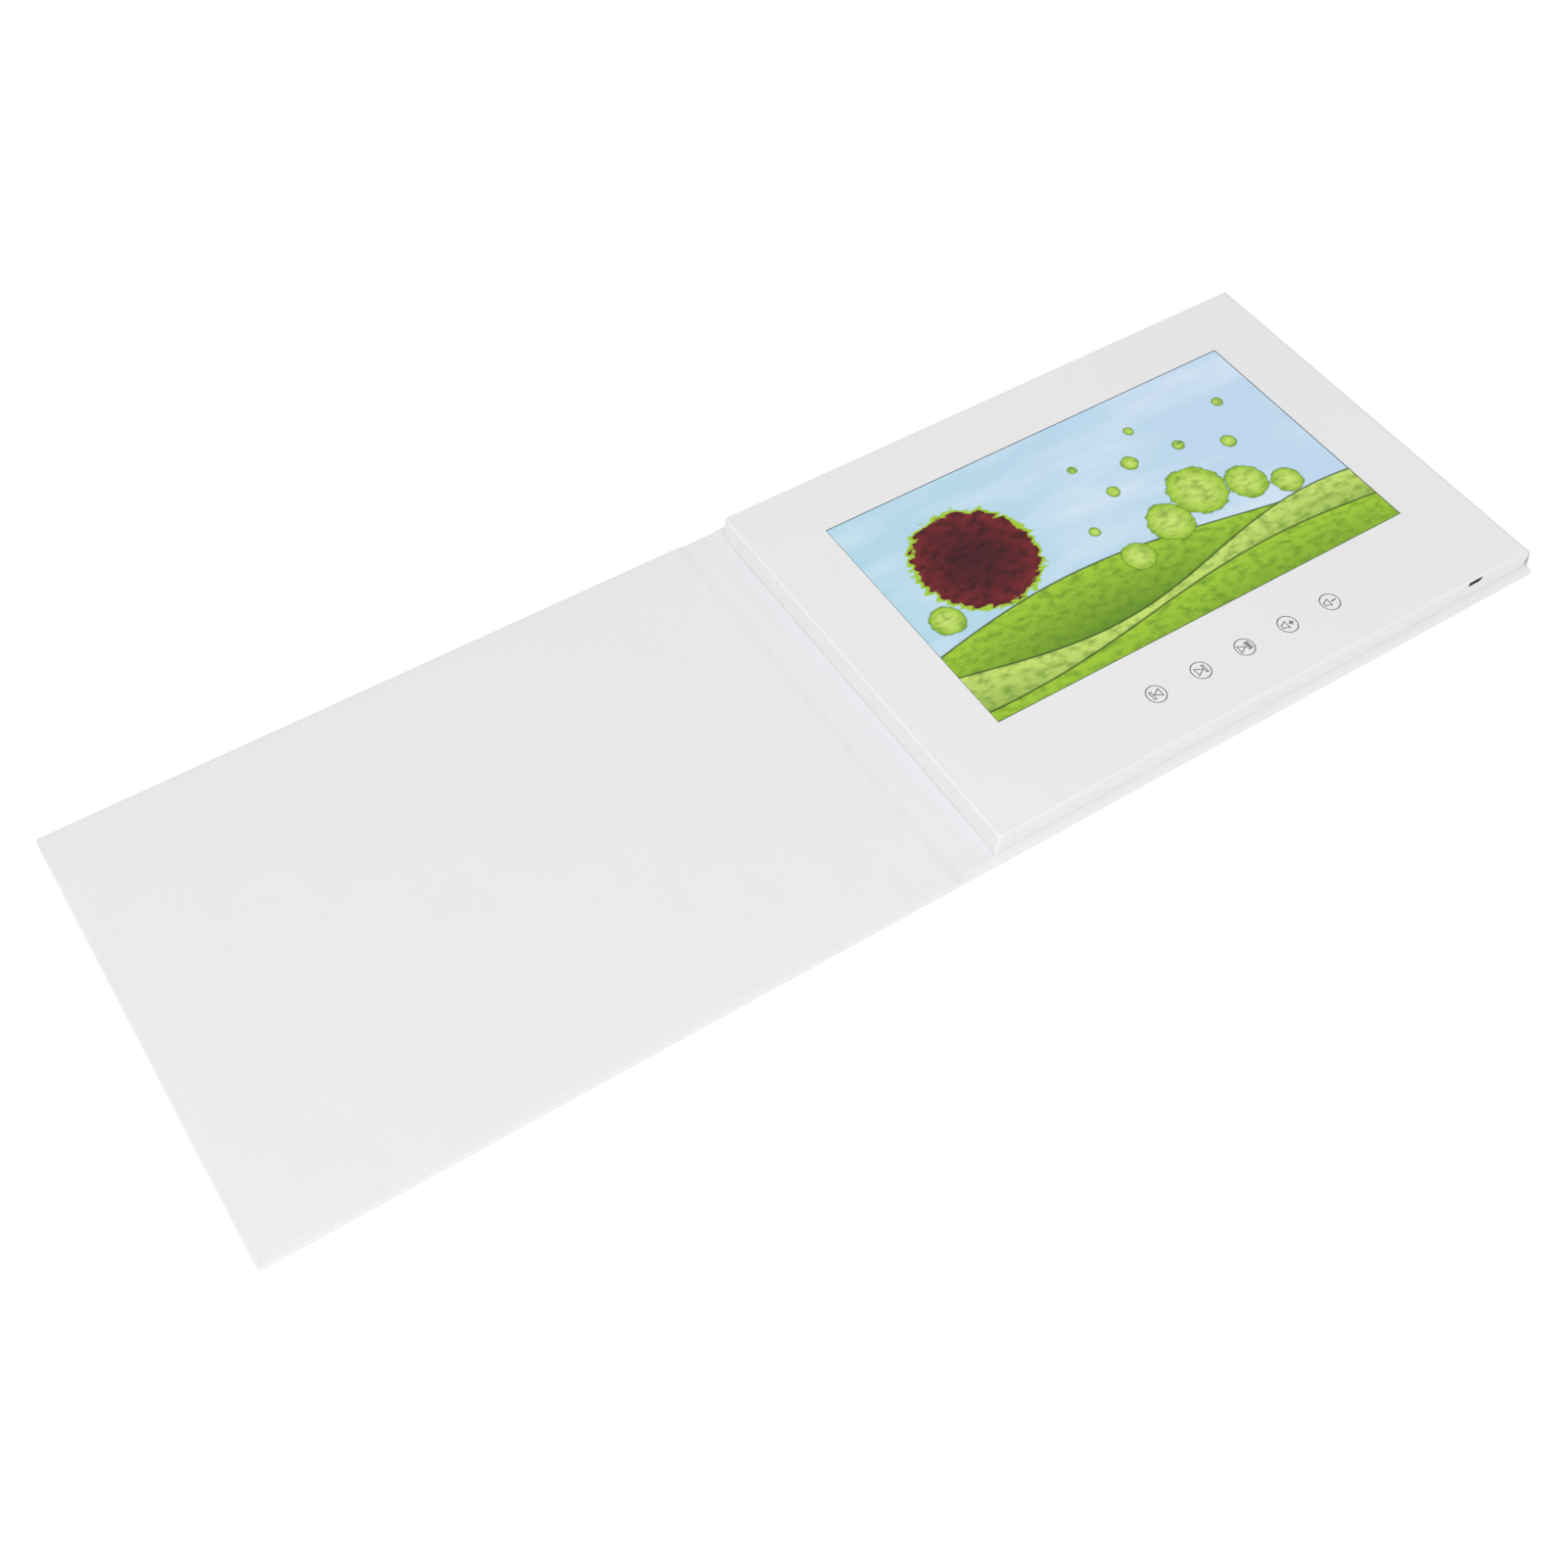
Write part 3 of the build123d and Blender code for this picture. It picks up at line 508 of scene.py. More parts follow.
liner_white = grained(
    "liner_white", paper_grain, (0.825, 0.822, 0.838), (0.815, 0.812, 0.828), 0.012,
    {"Smoothest": 0.44, "Roughest": 0.54}, specular=0.35,
)
# Painted shade: from the spine's middle towards the box, the liner's colour is made darker and a
# little more purple. This is partly painted shade beside the box wall and partly the spine paper's
# own slightly purple tone.
tree = liner_white.node_tree
grain = next(node for node in tree.nodes if node.type == "GROUP")
hinge_place = tree.nodes.new("ShaderNodeTexCoord")
hinge_axes = tree.nodes.new("ShaderNodeSeparateXYZ")
hinge_shade_reach = tree.nodes.new("ShaderNodeMapRange")
hinge_shade_reach.inputs["From Min"].default_value = -5.5 * mm
hinge_shade_reach.inputs["From Max"].default_value = 4.0 * mm
hinge_shade_and_tone = tree.nodes.new("ShaderNodeMix")
hinge_shade_and_tone.data_type = "RGBA"
hinge_shade_and_tone.blend_type = "MULTIPLY"
hinge_shade_and_tone.inputs["B"].default_value = (0.966, 0.956, 0.966, 1.0)
tree.links.new(hinge_place.outputs["Object"], hinge_axes.inputs[0])
tree.links.new(hinge_axes.outputs["X"], hinge_shade_reach.inputs["Value"])
tree.links.new(hinge_shade_reach.outputs["Result"], hinge_shade_and_tone.inputs["Factor"])
tree.links.new(grain.outputs["Colour"], hinge_shade_and_tone.inputs["A"])
tree.links.new(hinge_shade_and_tone.outputs["Result"], tree.nodes["Principled BSDF"].inputs["Base Color"])

lid_liner_steps = groove_steps + [-12.0 - 13.0 * i for i in range(1, 22)]
lid_liner_steps = lid_liner_steps + [lid_left + liner_margin_lid_edge]
lid_liner = liner_sheet("lid_liner_paper", lid_liner_steps, 28)
thicken(lid_liner, paper)
wear(liner_white, lid_liner)
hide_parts("lid_liner")  # the CAD node of that name
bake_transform(lid_liner)

spine_liner_steps = [s for s in base_steps if s < 12.2] + [12.28]
spine_liner = liner_sheet("spine_liner_paper", spine_liner_steps, 28)
thicken(spine_liner, paper)
wear(liner_white, spine_liner)
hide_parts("spine_liner")
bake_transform(spine_liner)
wear(liner_white, nodes["base_liner"])

# ---------------------------------------------------------------- boards of the cover
# Grey board, cut to size: one under the lid, a narrow one in the spine and one under the box.

grey_board = grained(
    "grey_board", paper_grain, (0.42, 0.395, 0.36), (0.30, 0.28, 0.25), 0.03,
    {"Fibres": 1500.0, "Mottle": 120.0, "Smoothest": 0.85, "Roughest": 0.95},
)
wear(grey_board, nodes["spine_board"])
base_board_cut_back = 0.9
lid_board_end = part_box("lid_board")[1].x / mm
base_board_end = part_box("base_board")[0].x / mm + base_board_cut_back
for body, edge_x, end_x, radius, rise in (
    ("lid", lid_left, lid_board_end, lid_corner_radius, lid_rim_rise),
    ("base", base_right, base_board_end, base_corner_radius, base_rim_rise),
):
    board = board_block(f"{body}_grey_board", edge_x, end_x, radius, rise)
    wear(grey_board, board)
    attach(board, body)
    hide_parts(f"{body}_board")

# ---------------------------------------------------------------- box card
# White laminated card, folded round the face and walls of the box. It has the window, the five
# round button holes and the socket's slot.

box_white = grained(
    "box_white", paper_grain, (0.840, 0.832, 0.838), (0.830, 0.822, 0.828), 0.012,
    {"Smoothest": 0.42, "Roughest": 0.52}, specular=0.35,
)
wear(box_white, nodes["case_cover"])

# ---------------------------------------------------------------- fore-edge flap
# The same white card goes on over the box's right edge, bulges and leans out to the base's edge.
# At its front end it is folded into the wall's corner and leaves a small dark opening at its foot.

card = 0.35


def bent_strip(points, finer):
    """A smooth line through these points (x, z), with that many parts between two of them."""
    line = []
    for i in range(len(points) - 1):
        p0 = Vector(points[max(0, i - 1)])
        p1, p2 = Vector(points[i]), Vector(points[i + 1])
        p3 = Vector(points[min(len(points) - 1, i + 2)])
        for k in range(finer):
            t = k / finer
            line.append(
                0.5 * (2 * p1 + (p2 - p0) * t + (2 * p0 - 5 * p1 + 4 * p2 - p3) * t * t
                       + (3 * p1 - p0 - 3 * p2 + p3) * t * t * t)
            )
    line.append(Vector(points[-1]))
    return line


flap_line = bent_strip(
    [(299.75, 13.92), (300.7, 13.42), (302.1, 12.3), (303.2, 10.45), (303.8, 8.0), (304.8, 2.25)], 5
)
flap_bulge = 0.5
flap_front = -100.55
flap_back = 99.15
flap_spread = 0.75
flap_draw_in = 1.1
flap_parts = 30
mesh = bmesh.new()
rows = []
for point in flap_line:
    spread = flap_spread * ease(-point.y, -9.5, -2.25)
    spread -= flap_draw_in * ease(-point.x, -301.6, -299.75)
    front, back = flap_front - spread, flap_back + spread
    bulge = flap_bulge * ease(point.y, 2.4, 8.0) * (1 - ease(point.y, 9.0, 13.2))
    row = []
    for i in range(flap_parts + 1):
        y = front + (back - front) * i / flap_parts
        x = point.x + bulge * (1 - ease(y, -100.0, -84.0))
        row.append(mesh.verts.new((x * mm, y * mm, point.y * mm)))
    rows.append(row)
for high, low in zip(rows, rows[1:]):
    for i in range(flap_parts):
        mesh.faces.new((high[i], low[i], low[i + 1], high[i + 1]))
mesh.normal_update()
if mesh.faces[:][-1].normal.x < 0:
    bmesh.ops.reverse_faces(mesh, faces=mesh.faces)
flap = finish_mesh("fore_edge_flap_card", mesh)
thicken(flap, card)
wear(box_white, flap)
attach(flap, "base")
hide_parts("fore_edge_flap")

tuck_edge = bent_strip(
    [(299.8, 13.75), (301.1, 13.0), (302.2, 11.9), (303.3, 10.2), (303.9, 8.2), (303.5, 6.6),
     (303.1, 5.1), (303.4, 3.9), (304.3, 2.45)], 4
)
tuck_start = 297.4
tuck_parts = 12
tuck_proud = 0.06
tuck_fold_x = 298.4
crease_width = 0.9
crease_depth = 0.05
tuck_curl = 0.022
for end_name, end_y, inward in (("front", case_front, 1), ("back", case_back, -1)):
    mesh = bmesh.new()
    rows = []
    for point in tuck_edge:
        row = []
        for i in range(tuck_parts + 1):
            x = tuck_start + (point.x - tuck_start) * i / tuck_parts
            bend = max(0.0, x - tuck_fold_x)
            crease = 0.0
            if bend < crease_width:
                crease = crease_depth * math.sin(math.pi * min(1.0, bend / crease_width))
            y = end_y - inward * (tuck_proud + crease) + inward * tuck_curl * bend * bend
            row.append(mesh.verts.new((x * mm, y * mm, point.y * mm)))
        rows.append(row)
    for high, low in zip(rows, rows[1:]):
        for i in range(tuck_parts):
            mesh.faces.new((high[i], low[i], low[i + 1], high[i + 1]))
    mesh.normal_update()
    if mesh.faces[:][0].normal.y * inward > 0:
        bmesh.ops.reverse_faces(mesh, faces=mesh.faces)
    tuck = finish_mesh(f"flap_tuck_{end_name}", mesh)
    thicken(tuck, card)
    wear(box_white, tuck)
    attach(tuck, "base")

# ---------------------------------------------------------------- frame board and strips
# White board under the card: one sheet with the screen's opening, and strips behind the walls
# that hold it up. They are glued to each other and to the card.

frame_white = grained(
    "frame_white", paper_grain, (0.68, 0.67, 0.63), (0.58, 0.57, 0.53), 0.03,
    {"Fibres": 1500.0, "Mottle": 100.0, "Smoothest": 0.8, "Roughest": 0.9},
)
frame_pieces = ["face_board", "strip_front_left", "strip_front_right", "strip_back",
                "strip_left", "strip_right"]
wear(frame_white, *[nodes[name] for name in frame_pieces])

# ---------------------------------------------------------------- screen picture
# The lit area of the panel behind its polarising film. It shows a plain generated landscape:
# pale blue sky, lime green hills and trees and one dark red tree, in a thin black border.

picture_low, picture_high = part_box("lcd_picture")
picture_width = picture_high.x - picture_low.x
picture_height = picture_high.y - picture_low.y
lit_picture = bpy.data.materials.new("lit_picture")
lit_picture.use_nodes = True
tree = lit_picture.node_tree
shader = tree.nodes["Principled BSDF"]


def number(operation, first, second=None, third=None, clamp=False):
    """A math node in the picture's material; an input is a socket or a plain number."""
    node = tree.nodes.new("ShaderNodeMath")
    node.operation = operation
    node.use_clamp = clamp
    for slot, value in enumerate((first, second, third)):
        if value is None:
            continue
        if isinstance(value, (int, float)):
            node.inputs[slot].default_value = value
        else:
            tree.links.new(value, node.inputs[slot])
    return node.outputs[0]


def blend_colour(factor, below, above):
    """Mixes two colours; each is a socket or a plain colour."""
    node = tree.nodes.new("ShaderNodeMix")
    node.data_type = "RGBA"
    tree.links.new(factor, node.inputs["Factor"])
    for name, value in (("A", below), ("B", above)):
        if isinstance(value, tuple):
            node.inputs[name].default_value = (*value, 1.0)
        else:
            tree.links.new(value, node.inputs[name])
    return node.outputs["Result"]


def step_up(value, edge, softness):
    """0 below the edge and 1 above it, over the softness."""
    return number("MULTIPLY_ADD", number("SUBTRACT", value, edge), 1.0 / softness, 0.5, clamp=True)


place = tree.nodes.new("ShaderNodeTexCoord")
split = tree.nodes.new("ShaderNodeSeparateXYZ")
tree.links.new(place.outputs["Object"], split.inputs[0])
across = number(
    "MULTIPLY_ADD", split.outputs["X"], 1 / picture_height, -picture_low.x / picture_height
)
upward = number(
    "MULTIPLY_ADD", split.outputs["Y"], 1 / picture_height, -picture_low.y / picture_height
)

sky_left = (0.445, 0.686, 0.807)
sky_right = (0.515, 0.680, 0.845)
cloud_white = (0.72, 0.83, 0.92)
lime = (0.36, 0.60, 0.035)
lime_pale = (0.58, 0.76, 0.16)
lime_deep = (0.10, 0.24, 0.012)
outline = (0.030, 0.060, 0.008)
tree_red = (0.190, 0.016, 0.020)
tree_wine = (0.070, 0.008, 0.011)
tree_black = (0.014, 0.004, 0.006)
colour = blend_colour(number("MULTIPLY", across, 0.7, clamp=True), sky_left, sky_right)
clouds = tree.nodes.new("ShaderNodeTexNoise")
clouds.inputs["Scale"].default_value = 1.6
clouds.inputs["Detail"].default_value = 4.0
long_clouds = tree.nodes.new("ShaderNodeCombineXYZ")
tree.links.new(across, long_clouds.inputs["X"])
tree.links.new(number("MULTIPLY", upward, 3.2), long_clouds.inputs["Y"])
tree.links.new(long_clouds.outputs[0], clouds.inputs["Vector"])
colour = blend_colour(
    number("MULTIPLY", step_up(clouds.outputs["Fac"], 0.56, 0.22), 0.6), colour, cloud_white
)

leaves = tree.nodes.new("ShaderNodeTexNoise")
leaves.inputs["Scale"].default_value = 22.0
leaves.inputs["Detail"].default_value = 5.0
leaf_place = tree.nodes.new("ShaderNodeCombineXYZ")
tree.links.new(across, leaf_place.inputs["X"])
tree.links.new(number("MULTIPLY", upward, 1.7), leaf_place.inputs["Y"])
tree.links.new(leaf_place.outputs[0], leaves.inputs["Vector"])
leaf_light = number("MULTIPLY_ADD", leaves.outputs["Fac"], 2.6, -0.45, clamp=True)
leaf_reach = number("SUBTRACT", leaves.outputs["Fac"], 0.5)


def away_from(x, y):
    """Distance from a point of the picture; its height is 1."""
    aside = number("POWER", number("ABSOLUTE", number("SUBTRACT", across, x)), 2.0)
    above = number("POWER", number("ABSOLUTE", number("SUBTRACT", upward, y)), 2.0)
    return number("SQRT", number("ADD", aside, above))


def crown(colour, x, y, radius, rim, edge_colour, gaps, middle, outer):
    """A round leafy crown with a rim, shaded from its middle to its outer part."""
    away = number("MULTIPLY_ADD", leaf_reach, 0.42 * radius, away_from(x, y))
    inner = number("SUBTRACT", 1.0, step_up(away, radius, 0.006))
    whole = number("SUBTRACT", 1.0, step_up(away, radius + rim, 0.006))
    shade = number("POWER", number("MULTIPLY", away, 1 / radius, clamp=True), 2.0)
    colour = blend_colour(whole, colour, edge_colour)
    lit = blend_colour(leaf_light, gaps, blend_colour(shade, middle, outer))
    return blend_colour(inner, colour, lit)


colour = crown(colour, 0.37, 0.62, 0.222, 0.016, lime, tree_black, tree_wine, tree_red)
hills = [
    (0.30, 0.085, 2.3, 0.2, lime_deep, lime),
    (0.20, 0.075, 3.1, 2.9, lime_deep, lime_pale),
    (0.10, 0.055, 2.6, 4.4, lime_deep, lime),
]
for level, swing, waves, start, deep, crest in hills:
    wave = number("SINE", number("MULTIPLY_ADD", across, waves, start))
    ridge = number("MULTIPLY_ADD", wave, swing, level)
    below = number("SUBTRACT", ridge, upward)
    shade = number("MULTIPLY_ADD", below, -3.4, 1.0, clamp=True)
    hill_colour = blend_colour(number("MULTIPLY", shade, leaf_light), deep, crest)
    colour = blend_colour(step_up(below, -0.006, 0.006), colour, outline)
    colour = blend_colour(step_up(below, 0.0, 0.006), colour, hill_colour)
trees = [
    (1.06, 0.40, 0.085), (1.24, 0.47, 0.110), (1.42, 0.41, 0.075), (0.86, 0.33, 0.060),
    (1.55, 0.34, 0.055), (0.12, 0.44, 0.060), (0.98, 0.62, 0.022), (1.12, 0.70, 0.030),
    (1.33, 0.68, 0.020), (1.50, 0.60, 0.026), (0.80, 0.50, 0.018), (1.60, 0.78, 0.018),
    (1.22, 0.83, 0.016), (0.92, 0.78, 0.014),
]
for x, y, radius in trees:
    colour = crown(colour, x, y, radius, 0.004, lime_deep, lime_deep, lime_pale, lime)

border = 0.0024
hidden_left, hidden_front, hidden_far = 0.0022, 0.0031, 0.0008
from_left = number("SUBTRACT", across, hidden_left)
from_front = number("SUBTRACT", upward, hidden_front)
from_right = number("SUBTRACT", picture_width / picture_height - hidden_far, across)
from_back = number("SUBTRACT", 1.0 - hidden_far, upward)
edge_x = number("MINIMUM", from_left, from_right)
edge_y = number("MINIMUM", from_front, from_back)
inside = step_up(number("MINIMUM", edge_x, edge_y), border, 0.0012)
colour = blend_colour(inside, (0.035, 0.060, 0.070), colour)
tree.links.new(colour, shader.inputs["Emission Color"])
shader.inputs["Emission Strength"].default_value = 0.92
dimmed = blend_colour(number("MULTIPLY", inside, 0.06), (0.01, 0.01, 0.012), colour)
tree.links.new(dimmed, shader.inputs["Base Color"])
shader.inputs["Roughness"].default_value = 0.22
shader.inputs["Specular IOR Level"].default_value = 0.06
wear(lit_picture, nodes["lcd_picture"])

# ---------------------------------------------------------------- screen module
# The panel in its stamped steel frame: glass, clear light guide, steel back plate, a driver
# board with its ribbon and plug, and black tape round the window.

speckle = bpy.data.node_groups.new("speckle", "ShaderNodeTree")
socket(speckle, "Light", "NodeSocketColor", "INPUT")
socket(speckle, "Shade", "NodeSocketColor", "INPUT")
socket(speckle, "Grain", "NodeSocketFloat", "INPUT", 1200.0)
socket(speckle, "Stretch", "NodeSocketVector", "INPUT", (1.0, 1.0, 1.0))
socket(speckle, "Smoothest", "NodeSocketFloat", "INPUT", 0.4)
socket(speckle, "Roughest", "NodeSocketFloat", "INPUT", 0.5)
socket(speckle, "Colour", "NodeSocketColor", "OUTPUT")
socket(speckle, "Roughness", "NodeSocketFloat", "OUTPUT")
socket(speckle, "Height", "NodeSocketFloat", "OUTPUT")
g = speckle.nodes
wire = speckle.links.new
given = g.new("NodeGroupInput")
result = g.new("NodeGroupOutput")
place = g.new("ShaderNodeTexCoord")
stretched = g.new("ShaderNodeVectorMath")
stretched.operation = "MULTIPLY"
wire(place.outputs["Object"], stretched.inputs[0])
wire(given.outputs["Stretch"], stretched.inputs[1])
grains = g.new("ShaderNodeTexNoise")
grains.inputs["Detail"].default_value = 2.0
wire(stretched.outputs[0], grains.inputs["Vector"])
wire(given.outputs["Grain"], grains.inputs["Scale"])
tint = g.new("ShaderNodeMix")
tint.data_type = "RGBA"
wire(grains.outputs["Fac"], tint.inputs["Factor"])
wire(given.outputs["Shade"], tint.inputs["A"])
wire(given.outputs["Light"], tint.inputs["B"])
wire(tint.outputs["Result"], result.inputs["Colour"])
gloss = g.new("ShaderNodeMapRange")
wire(grains.outputs["Fac"], gloss.inputs["Value"])
wire(given.outputs["Smoothest"], gloss.inputs["To Min"])
wire(given.outputs["Roughest"], gloss.inputs["To Max"])
wire(gloss.outputs["Result"], result.inputs["Roughness"])
wire(grains.outputs["Fac"], result.inputs["Height"])

steel = grained(
    "frame_steel", speckle, (0.62, 0.63, 0.64), (0.50, 0.51, 0.52), 0.004,
    {"Grain": 900.0, "Stretch": (1.0, 0.05, 1.0), "Smoothest": 0.28, "Roughest": 0.4}, metallic=1.0,
)
wear(steel, nodes["lcd_bezel"], nodes["lcd_back_plate"])
wear(steel, nodes["switch_bodies"], nodes["switch_domes"])
tape_black = grained(
    "tape_black", speckle, (0.014, 0.014, 0.015), (0.006, 0.006, 0.007), 0.03,
    {"Grain": 1800.0, "Smoothest": 0.7, "Roughest": 0.85},
)
wear(tape_black, nodes["lcd_gasket"])
panel_glass = grained(
    "panel_glass", speckle, (0.010, 0.012, 0.015), (0.006, 0.008, 0.010), 0.001,
    {"Grain": 60.0, "Smoothest": 0.06, "Roughest": 0.12},
)
wear(panel_glass, nodes["lcd_panel"])
guide_clear = grained(
    "guide_clear", speckle, (0.80, 0.84, 0.86), (0.72, 0.77, 0.79), 0.004,
    {"Grain": 700.0, "Smoothest": 0.12, "Roughest": 0.22},
)
wear(guide_clear, nodes["lcd_light_guide"])
board_green = grained(
    "board_green", speckle, (0.022, 0.16, 0.055), (0.012, 0.10, 0.035), 0.02,
    {"Grain": 500.0, "Smoothest": 0.3, "Roughest": 0.42},
)
wear(board_green, nodes["lcd_driver_board"], nodes["main_board"], nodes["key_board"])
film_amber = grained(
    "film_amber", speckle, (0.62, 0.38, 0.10), (0.50, 0.28, 0.06), 0.01,
    {"Grain": 260.0, "Stretch": (4.0, 0.4, 1.0), "Smoothest": 0.3, "Roughest": 0.4},
)
wear(film_amber, nodes["lcd_ribbon"], nodes["key_ribbon"])
plug_ivory = grained(
    "plug_ivory", speckle, (0.74, 0.71, 0.60), (0.66, 0.63, 0.52), 0.01,
    {"Grain": 900.0, "Smoothest": 0.4, "Roughest": 0.5},
)
wear(plug_ivory, nodes["lcd_plug"], nodes["battery_plug"], nodes["speaker_plug"])

# ---------------------------------------------------------------- player board
# A green circuit board with black chips and tan capacitors, stuck to the floor on foam.

chip_black = grained(
    "chip_black", speckle, (0.020, 0.020, 0.022), (0.010, 0.010, 0.011), 0.02,
    {"Grain": 2400.0, "Smoothest": 0.5, "Roughest": 0.65},
)
chips = ("processor_chip", "memory_chip", "amplifier_chip", "hall_sensor")
wear(chip_black, *[nodes[name] for name in chips])
capacitor_tan = grained(
    "capacitor_tan", speckle, (0.36, 0.23, 0.12), (0.28, 0.17, 0.08), 0.01,
    {"Grain": 1500.0, "Smoothest": 0.35, "Roughest": 0.5},
)
wear(capacitor_tan, nodes["capacitors"])
foam_white = grained(
    "foam_white", speckle, (0.50, 0.50, 0.47), (0.36, 0.36, 0.34), 0.15,
    {"Grain": 1600.0, "Smoothest": 0.85, "Roughest": 0.95},
)
wear(foam_white, nodes["board_pad"], nodes["key_pad"])

# ---------------------------------------------------------------- socket
# A folded steel shell with a grey plastic tongue, behind the slot in the box's front wall.

shell_steel = grained(
    "shell_steel", speckle, (0.42, 0.42, 0.43), (0.32, 0.32, 0.33), 0.004,
    {"Grain": 1100.0, "Smoothest": 0.3, "Roughest": 0.42}, metallic=1.0,
)
wear(shell_steel, nodes["usb_shell"])
tongue_grey = grained(
    "tongue_grey", speckle, (0.16, 0.16, 0.17), (0.12, 0.12, 0.13), 0.01,
    {"Grain": 1400.0, "Smoothest": 0.4, "Roughest": 0.5},
)
wear(tongue_grey, nodes["usb_tongue"])

# ---------------------------------------------------------------- battery and speaker
# A foil pouch cell on double-sided tape and a small oval speaker, each with a pair of red leads
# to its plug on the player board. A nickel magnet in the lid wakes the player.

foil = grained(
    "battery_foil", speckle, (0.60, 0.61, 0.62), (0.50, 0.51, 0.52), 0.05,
    {"Grain": 180.0, "Smoothest": 0.3, "Roughest": 0.42}, metallic=0.9,
)
wear(foil, nodes["battery_cell"])
tape_cream = grained(
    "tape_cream", speckle, (0.70, 0.66, 0.50), (0.62, 0.58, 0.42), 0.02,
    {"Grain": 600.0, "Smoothest": 0.5, "Roughest": 0.6},
)
wear(tape_cream, nodes["battery_pad"])
lead_red = grained(
    "lead_red", speckle, (0.26, 0.010, 0.008), (0.20, 0.006, 0.006), 0.01,
    {"Grain": 1200.0, "Smoothest": 0.35, "Roughest": 0.45},
)
wear(lead_red, nodes["battery_leads"], nodes["speaker_leads"])
speaker_black = grained(
    "speaker_black", speckle, (0.016, 0.016, 0.016), (0.008, 0.008, 0.008), 0.02,
    {"Grain": 1600.0, "Smoothest": 0.5, "Roughest": 0.62},
)
wear(speaker_black, nodes["speaker_frame"])
cone_black = grained(
    "cone_black", paper_grain, (0.030, 0.030, 0.030), (0.014, 0.014, 0.014), 0.05,
    {"Fibres": 1800.0, "Mottle": 300.0, "Smoothest": 0.75, "Roughest": 0.88},
)
wear(cone_black, nodes["speaker_cone"])
nickel = grained(
    "magnet_nickel", speckle, (0.66, 0.65, 0.62), (0.56, 0.55, 0.52), 0.004,
    {"Grain": 500.0, "Smoothest": 0.18, "Roughest": 0.3}, metallic=1.0,
)
wear(nickel, nodes["speaker_magnet"], nodes["lid_magnet"])

# ---------------------------------------------------------------- buttons
# Five round pieces of the same white card, each on the black plunger of a switch. A thin grey
# ring and a sign are printed on each: back, on, play and pause, louder, softer.

button_names = ("previous", "next", "play", "louder", "softer")
wear(box_white, *[nodes[f"button_{name}"] for name in button_names])
plunger_black = grained(
    "plunger_black", speckle, (0.03, 0.03, 0.03), (0.02, 0.02, 0.02), 0.01,
    {"Grain": 1500.0, "Smoothest": 0.4, "Roughest": 0.5},
)
wear(plunger_black, *[nodes[f"plunger_{name}"] for name in button_names])

ink_grey = grained(
    "ink_grey", speckle, (0.050, 0.049, 0.051), (0.038, 0.037, 0.039), 0.002,
    {"Grain": 3000.0, "Smoothest": 0.45, "Roughest": 0.55},
)
ink_black = grained(
    "ink_black", speckle, (0.016, 0.016, 0.016), (0.010, 0.010, 0.010), 0.002,
    {"Grain": 3000.0, "Smoothest": 0.45, "Roughest": 0.55},
)
ink_film = 0.012
line_width = 0.30
sign_width = 0.36
bold_width = 0.52
ring_radius = 4.38
ring_corners = 72


def drawn_line(mesh, points, closed, width, x, y, z):
    """A printed line of that width along these points, as a thin raised film."""
    count = len(points)
    sides = []
    for i, (px, py) in enumerate(points):
        before = Vector(points[i - 1]) if closed or i > 0 else None
        after = Vector(points[(i + 1) % count]) if closed or i < count - 1 else None
        here = Vector((px, py))
        ahead = (after - here).normalized() if after is not None else (here - before).normalized()
        behind = (here - before).normalized() if before is not None else ahead
        normal = Vector((-(ahead + behind).y, (ahead + behind).x)).normalized()
        stretch = 1.0 / max(0.35, normal.dot(Vector((-ahead.y, ahead.x))))
        reach = normal * (width / 2 * stretch)
        sides.append((here + reach, here - reach))
    rows = []
    for left, right in sides:
        rows.append([
            mesh.verts.new(((x + p.x) * mm, (y + p.y) * mm, h * mm))
            for p, h in ((left, z), (right, z), (right, z - ink_film), (left, z - ink_film))
        ])
    last = count if closed else count - 1
    for i in range(last):
        one, two = rows[i], rows[(i + 1) % count]
        for k in range(4):
            mesh.faces.new((one[k], one[(k + 1) % 4], two[(k + 1) % 4], two[k]))
    if not closed:
        mesh.faces.new(rows[0])
        mesh.faces.new(rows[-1][::-1])


def bar_sign(left, right, half):
    """A bar's outline."""
    return ([(left, half), (right, half), (right, -half), (left, -half)], True)


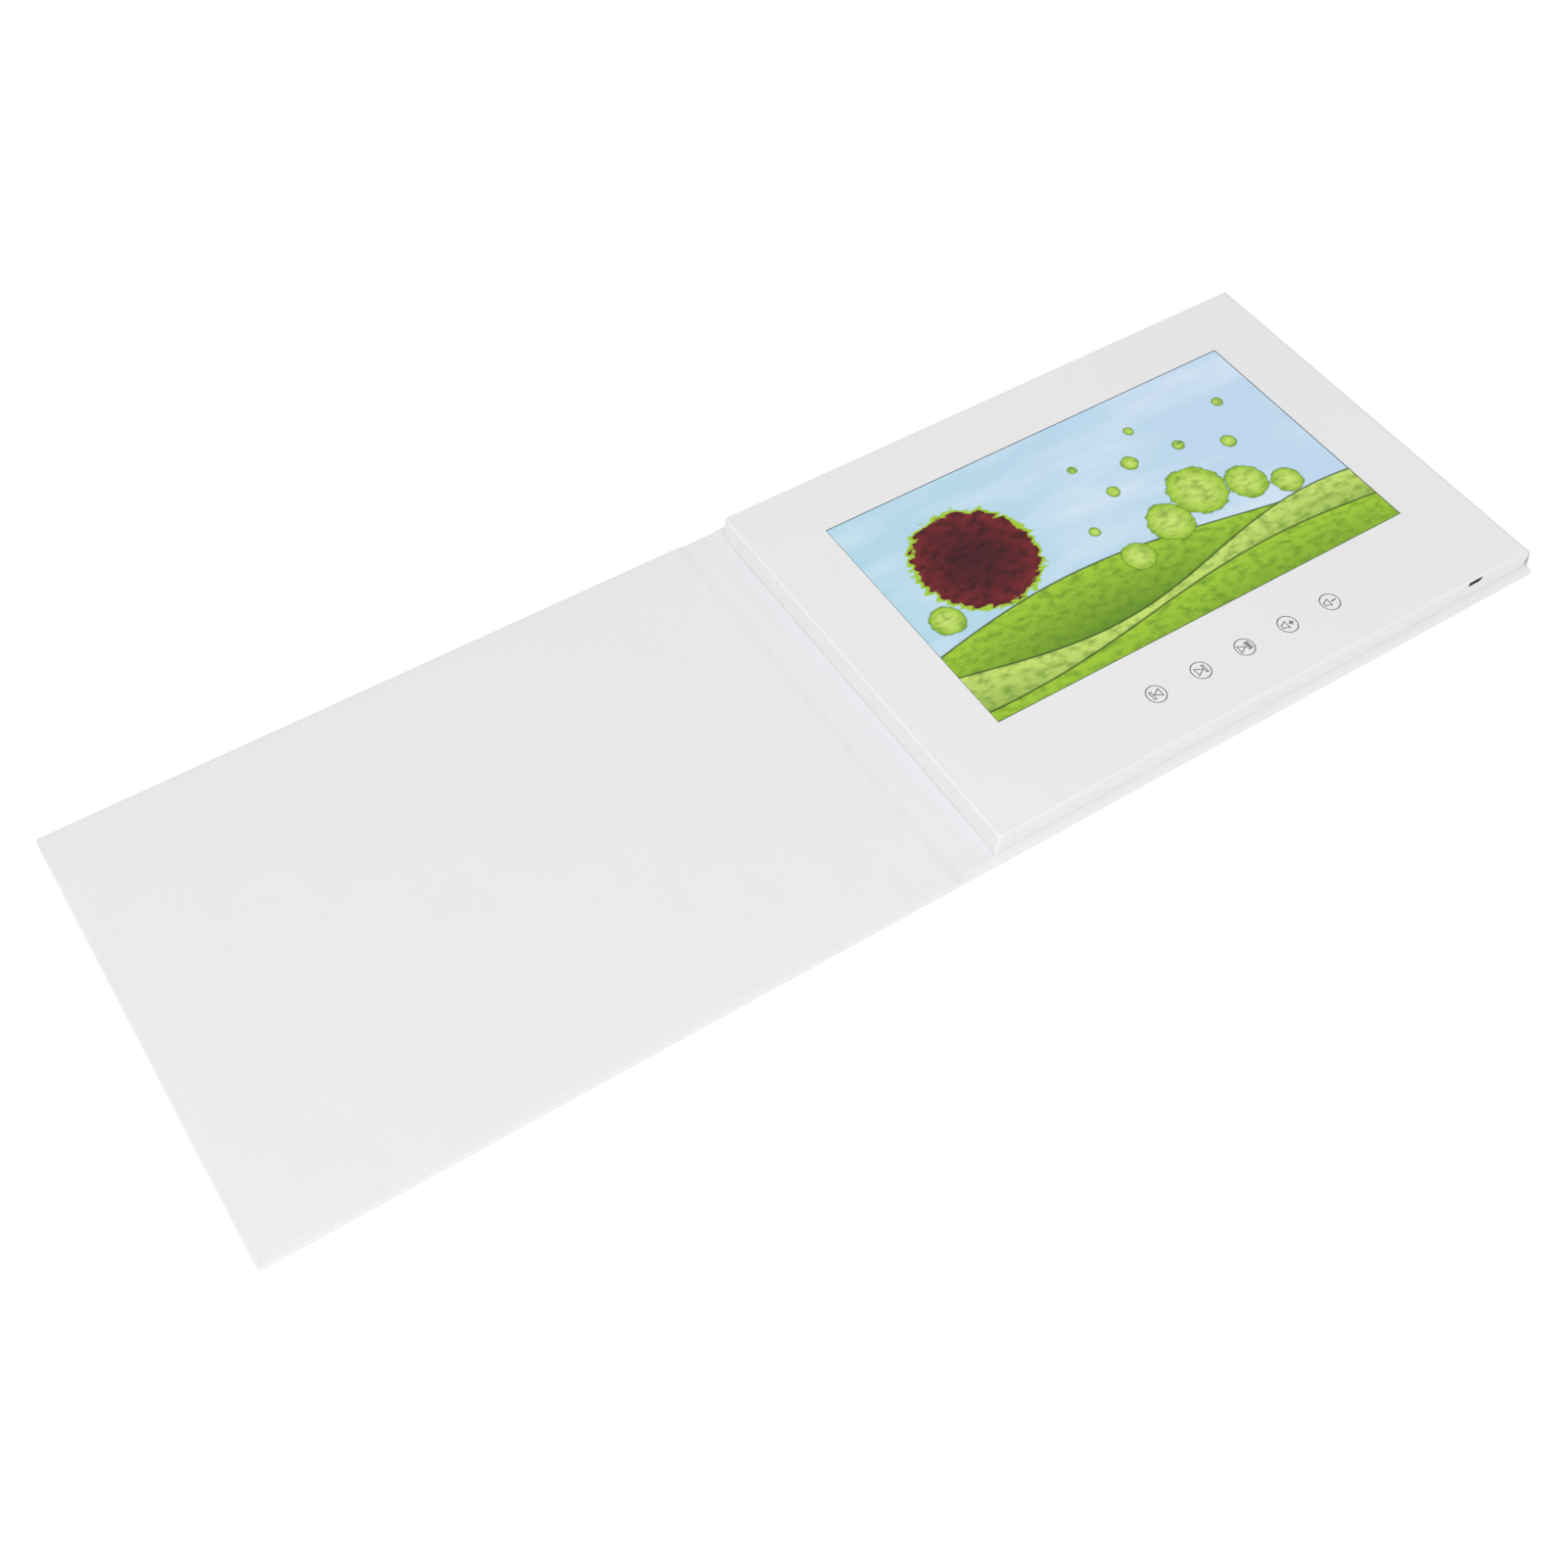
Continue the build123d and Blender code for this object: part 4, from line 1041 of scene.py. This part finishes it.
back_sign = [bar_sign(-2.45, -1.45, 1.95), ([(-0.95, 0.0), (2.3, 1.95), (2.3, -1.95)], True)]
on_sign = [([(-2.3, 1.9), (1.1, 0.0), (-2.3, -1.9)], True), bar_sign(1.6, 2.45, 1.95)]
play_sign = [
    ([(-2.95, 1.85), (0.3, 0.0), (-2.95, -1.85)], True),
    bar_sign(1.0, 1.8, 1.85),
    bar_sign(2.2, 3.0, 1.85),
]
speaker_sign = [
    ([(-3.0, 0.95), (-2.1, 0.95), (-0.3, 1.95), (-0.3, -1.95), (-2.1, -0.95), (-3.0, -0.95)], True),
]
plus_sign = [([(0.65, 0.0), (3.25, 0.0)], False), ([(1.95, 1.3), (1.95, -1.3)], False)]
minus_sign = [([(0.65, 0.0), (3.25, 0.0)], False)]
signs = {
    "previous": (back_sign, []),
    "next": (on_sign, []),
    "play": (play_sign, []),
    "louder": (speaker_sign, plus_sign),
    "softer": (speaker_sign, minus_sign),
}
for name, (thin_lines, bold_lines) in signs.items():
    low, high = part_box(f"button_{name}")
    middle_x = (low.x + high.x) / 2 / mm
    middle_y = (low.y + high.y) / 2 / mm
    top = high.z / mm
    mesh = bmesh.new()
    circle = [
        (ring_radius * math.cos(2 * math.pi * i / ring_corners),
         ring_radius * math.sin(2 * math.pi * i / ring_corners))
        for i in range(ring_corners)
    ]
    drawn_line(mesh, circle, True, line_width, middle_x, middle_y, top)
    for points, closed in thin_lines:
        drawn_line(mesh, points, closed, sign_width, middle_x, middle_y, top)
    bmesh.ops.recalc_face_normals(mesh, faces=mesh.faces)
    print_grey = finish_mesh(f"print_{name}", mesh)
    wear(ink_grey, print_grey)
    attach(print_grey, f"button_{name}")
    if bold_lines:
        mesh = bmesh.new()
        for points, closed in bold_lines:
            drawn_line(mesh, points, closed, bold_width, middle_x, middle_y, top)
        bmesh.ops.recalc_face_normals(mesh, faces=mesh.faces)
        print_bold = finish_mesh(f"print_{name}_sign", mesh)
        wear(ink_black, print_bold)
        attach(print_bold, f"button_{name}")
